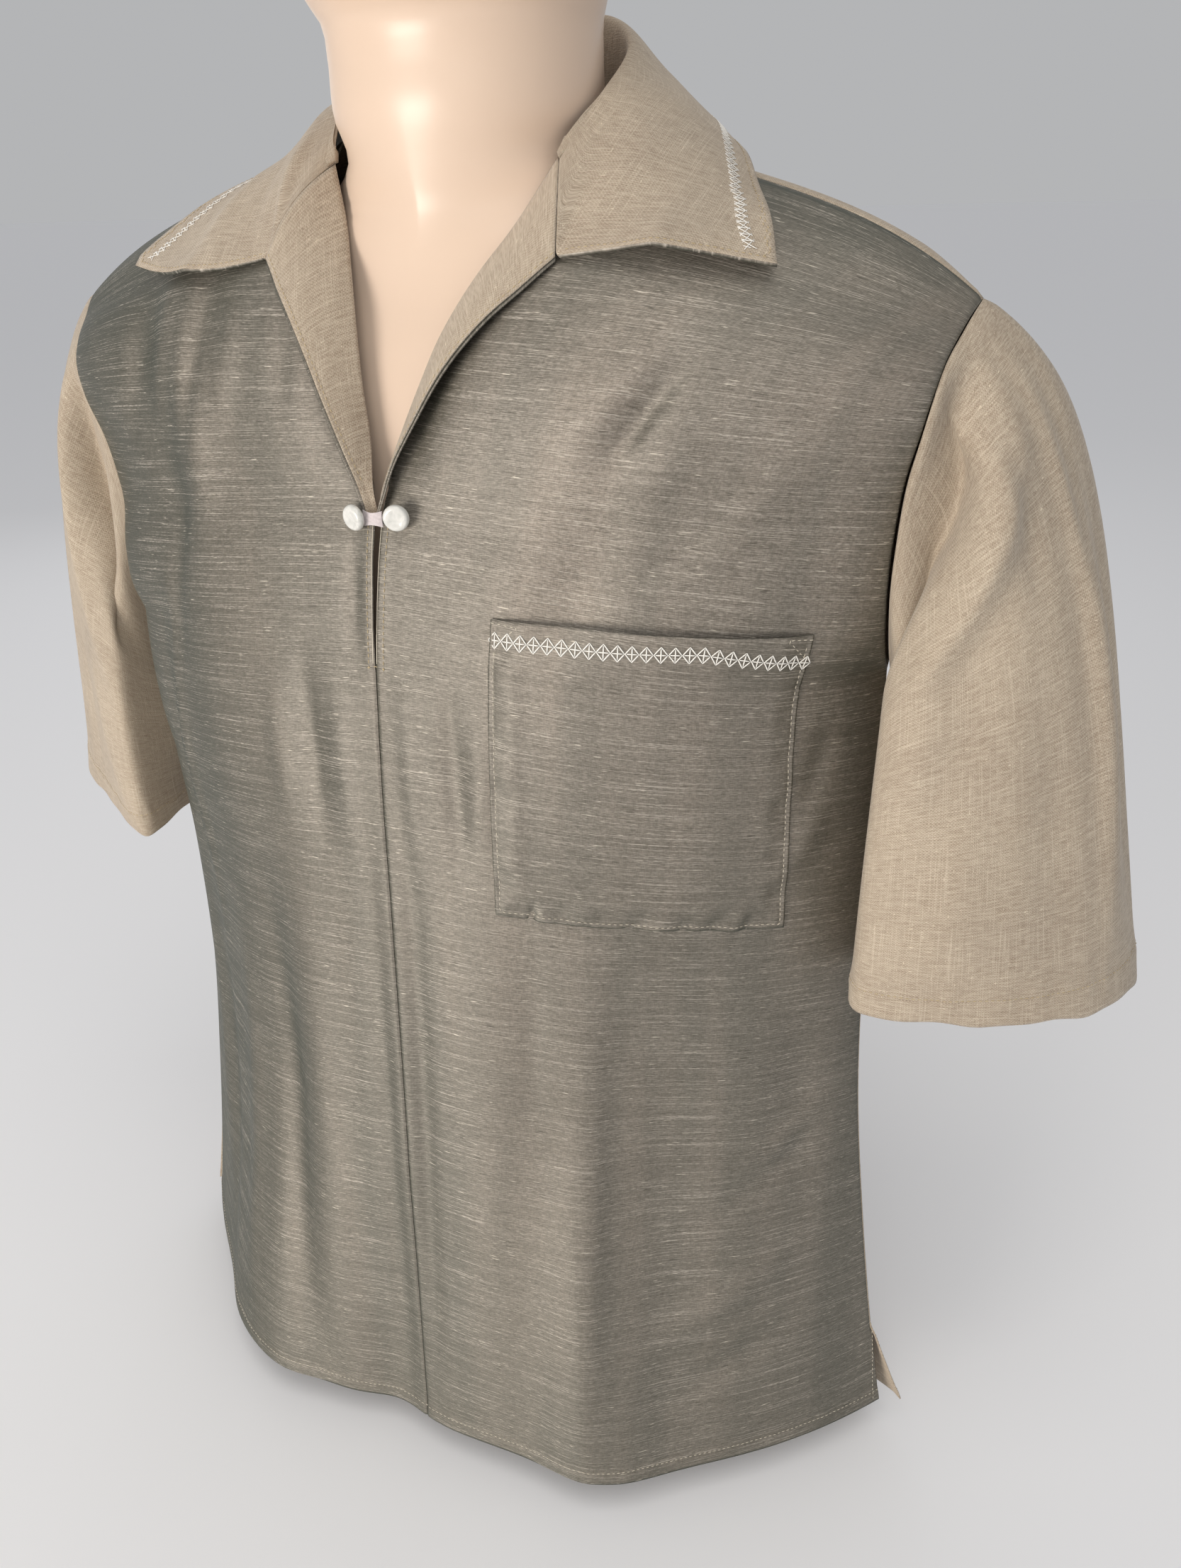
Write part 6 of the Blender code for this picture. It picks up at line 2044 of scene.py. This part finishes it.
FRONT_CREASES = {
    Side.LEFT: (
        Crease(0.112, 0.620, 0.094, 0.576, 0.0065, -0.0052, 0.2),
        Crease(0.094, 0.622, 0.078, 0.580, 0.0120, 0.0018),
        Crease(0.126, 0.600, 0.112, 0.560, 0.0100, 0.0016),
        Crease(0.150, 0.560, 0.110, 0.540, 0.0070, -0.0014),
        Crease(0.172, 0.585, 0.140, 0.545, 0.0090, 0.0014),
        Crease(0.060, 0.560, 0.030, 0.520, 0.0080, -0.0012),
        Crease(0.036, 0.484, 0.040, 0.390, 0.0060, -0.0022),
        Crease(0.015, 0.480, 0.017, 0.380, 0.0060, 0.0014),
        Crease(0.052, 0.470, 0.050, 0.400, 0.0050, 0.0012),
        Crease(0.012, 0.430, 0.010, 0.060, 0.0070, -0.0024),
        Crease(0.050, 0.390, 0.046, 0.040, 0.0200, 0.0022),
        Crease(0.099, 0.360, 0.100, 0.010, 0.0140, 0.0052, 0.35),
        Crease(0.136, 0.350, 0.142, 0.020, 0.0220, -0.0040),
        Crease(0.182, 0.330, 0.190, 0.120, 0.0140, 0.0012),
        Crease(0.124, 0.100, 0.214, 0.162, 0.0110, 0.0018),
        Crease(0.140, 0.066, 0.224, 0.116, 0.0100, -0.0016),
        Crease(0.150, 0.180, 0.220, 0.236, 0.0100, -0.0014),
        Crease(0.208, 0.330, 0.214, 0.200, 0.0100, -0.0012),
        Crease(0.072, 0.370, 0.070, 0.250, 0.0060, -0.0010),
        Crease(0.216, 0.480, 0.204, 0.440, 0.0070, -0.0014),
        Crease(0.216, 0.440, 0.190, 0.400, 0.0080, 0.0016),
        Crease(0.226, 0.260, 0.190, 0.220, 0.0070, 0.0012),
    ),
    Side.RIGHT: (
        Crease(0.067, 0.650, 0.106, 0.570, 0.0060, -0.0034),
        Crease(0.050, 0.646, 0.078, 0.584, 0.0070, 0.0022),
        Crease(0.090, 0.655, 0.130, 0.575, 0.0080, 0.0028),
        Crease(0.118, 0.640, 0.150, 0.580, 0.0070, -0.0018),
        Crease(0.030, 0.632, 0.040, 0.590, 0.0060, -0.0016),
        Crease(0.140, 0.505, 0.158, 0.310, 0.0045, 0.0024, 0.3),
        Crease(0.152, 0.500, 0.170, 0.340, 0.0070, -0.0022),
        Crease(0.120, 0.560, 0.135, 0.480, 0.0070, -0.0016),
        Crease(0.040, 0.490, 0.035, 0.395, 0.0060, -0.0022),
        Crease(0.022, 0.480, 0.018, 0.390, 0.0060, 0.0014),
        Crease(0.058, 0.480, 0.056, 0.400, 0.0070, 0.0016),
        Crease(0.010, 0.540, 0.011, 0.490, 0.0045, -0.0014),
        Crease(0.010, 0.400, 0.012, 0.060, 0.0070, -0.0018),
        Crease(0.056, 0.400, 0.055, 0.020, 0.0170, 0.0044),
        Crease(0.086, 0.350, 0.080, 0.040, 0.0110, -0.0042),
        Crease(0.122, 0.330, 0.130, 0.030, 0.0130, 0.0034),
        Crease(0.186, 0.420, 0.196, 0.120, 0.0100, 0.0024),
        Crease(0.170, 0.300, 0.176, 0.060, 0.0090, -0.0026),
    ),
}
BACK_CREASES = (
    Crease(-0.060, 0.600, -0.020, 0.430, 0.0096, -0.0047),
    Crease(0.075, 0.610, 0.040, 0.450, 0.0112, -0.0044),
    Crease(-0.120, 0.580, -0.100, 0.430, 0.0080, 0.0047),
    Crease(0.135, 0.590, 0.118, 0.440, 0.0088, 0.0044),
    Crease(0.010, 0.560, 0.000, 0.380, 0.0128, 0.0044),
    Crease(-0.160, 0.470, -0.110, 0.400, 0.0064, -0.0040),
    Crease(0.175, 0.480, 0.125, 0.420, 0.0064, -0.0036),
    Crease(-0.150, 0.340, -0.160, 0.040, 0.0104, 0.0061),
    Crease(-0.060, 0.360, -0.050, 0.060, 0.0112, -0.0054),
    Crease(0.055, 0.330, 0.062, 0.040, 0.0104, -0.0061),
    Crease(0.150, 0.350, 0.160, 0.070, 0.0112, 0.0054),
    Crease(-0.010, 0.300, 0.020, 0.030, 0.0096, 0.0044),
    Crease(-0.215, 0.330, -0.220, 0.110, 0.0072, -0.0047),
    Crease(0.210, 0.300, 0.216, 0.100, 0.0072, -0.0040),
)
SLEEVE_CREASES = {
    Side.LEFT: (
        Crease(0.026, 0.030, 0.038, 0.230, 0.0100, 0.0056, -0.35),
        Crease(0.002, 0.060, 0.010, 0.240, 0.0130, -0.0046),
        Crease(0.044, 0.030, 0.150, 0.092, 0.0130, 0.0084, 0.2),
        Crease(0.058, 0.010, 0.176, 0.046, 0.0155, -0.0200, 0.2),
        Crease(0.128, 0.060, 0.142, 0.170, 0.0120, 0.0036),
        Crease(0.012, 0.028, 0.032, 0.100, 0.0070, -0.0024),
        Crease(0.070, 0.100, 0.074, 0.250, 0.0140, -0.0022),
        Crease(0.118, 0.130, 0.122, 0.255, 0.0150, 0.0026),
        Crease(0.060, 0.010, 0.064, 0.090, 0.0090, -0.0022),
        Crease(0.300, 0.020, 0.330, 0.180, 0.0120, -0.0036),
        Crease(0.360, 0.030, 0.372, 0.220, 0.0140, 0.0032),
        Crease(0.255, 0.060, 0.262, 0.230, 0.0120, 0.0030),
    ),
    Side.RIGHT: (
        Crease(0.086, 0.004, 0.166, 0.096, 0.0150, -0.0175, 0.2),
        Crease(0.194, 0.080, 0.204, 0.260, 0.0180, 0.0075),
        Crease(0.070, 0.012, 0.138, 0.140, 0.0110, 0.0058),
        Crease(0.040, 0.020, 0.052, 0.220, 0.0120, 0.0030),
        Crease(0.110, 0.110, 0.136, 0.240, 0.0120, 0.0028),
        Crease(0.080, 0.120, 0.090, 0.240, 0.0110, -0.0022),
        Crease(0.010, 0.060, 0.022, 0.220, 0.0120, -0.0026),
        Crease(0.290, 0.020, 0.320, 0.170, 0.0120, -0.0034),
        Crease(0.350, 0.030, 0.364, 0.210, 0.0140, 0.0032),
        Crease(0.250, 0.050, 0.256, 0.220, 0.0120, 0.0030),
    ),
}
COLLAR_CREASES = (
    Crease(0.572, 0.052, 0.600, 0.001, 0.0050, 0.0026),
    Crease(0.586, 0.060, 0.618, 0.004, 0.0050, -0.0016),
    Crease(0.600, 0.068, 0.642, 0.000, 0.0060, 0.0026),
    Crease(0.600, 0.215, 0.640, 0.225, 0.0090, 0.0012),
    Crease(0.588, 0.376, 0.606, 0.428, 0.0070, 0.0012),
)


def main() -> None:
    """Builds the studio, the form and the shirt in order."""
    logging.basicConfig(level=logging.INFO, format="%(message)s")
    Studio().build()
    finishes = Wardrobe.stocked()
    sewing = Seamstress()
    TorsoForm().build(finishes)
    panels = Panels()
    fronts = {side: FrontPanel(side, FRONT_CREASES[side]) for side in Side}
    for panel in fronts.values():
        panel.build(panels, finishes)
        panel.dress(sewing, finishes)
    SlitFacing().build(fronts, finishes)
    back = BackPanel(BACK_CREASES)
    back.build(panels, finishes)
    back.dress(sewing, finishes)
    for side in Side:
        sleeve = Sleeve(side, SLEEVE_CREASES[side])
        sleeve.build(panels, finishes)
        sleeve.dress(sewing, finishes)
        lapel = Lapel(side)
        lapel.build(finishes)
        lapel.dress(sewing, finishes)
        Button(side).build(finishes)
    ThreadBar().build(finishes)
    motifs = [Motifs.diamond(), Motifs.cross()]
    pocket = Pocket()
    pocket.build(fronts[Side.LEFT], finishes)
    pocket.dress(sewing, motifs[0], finishes)
    collar = Collar()
    collar.build(finishes)
    collar.dress(sewing, motifs[1], finishes)
    for motif in motifs:
        bpy.data.objects.remove(motif, do_unlink=True)
    bpy.context.view_layer.update()


if __name__ == "__main__":
    main()
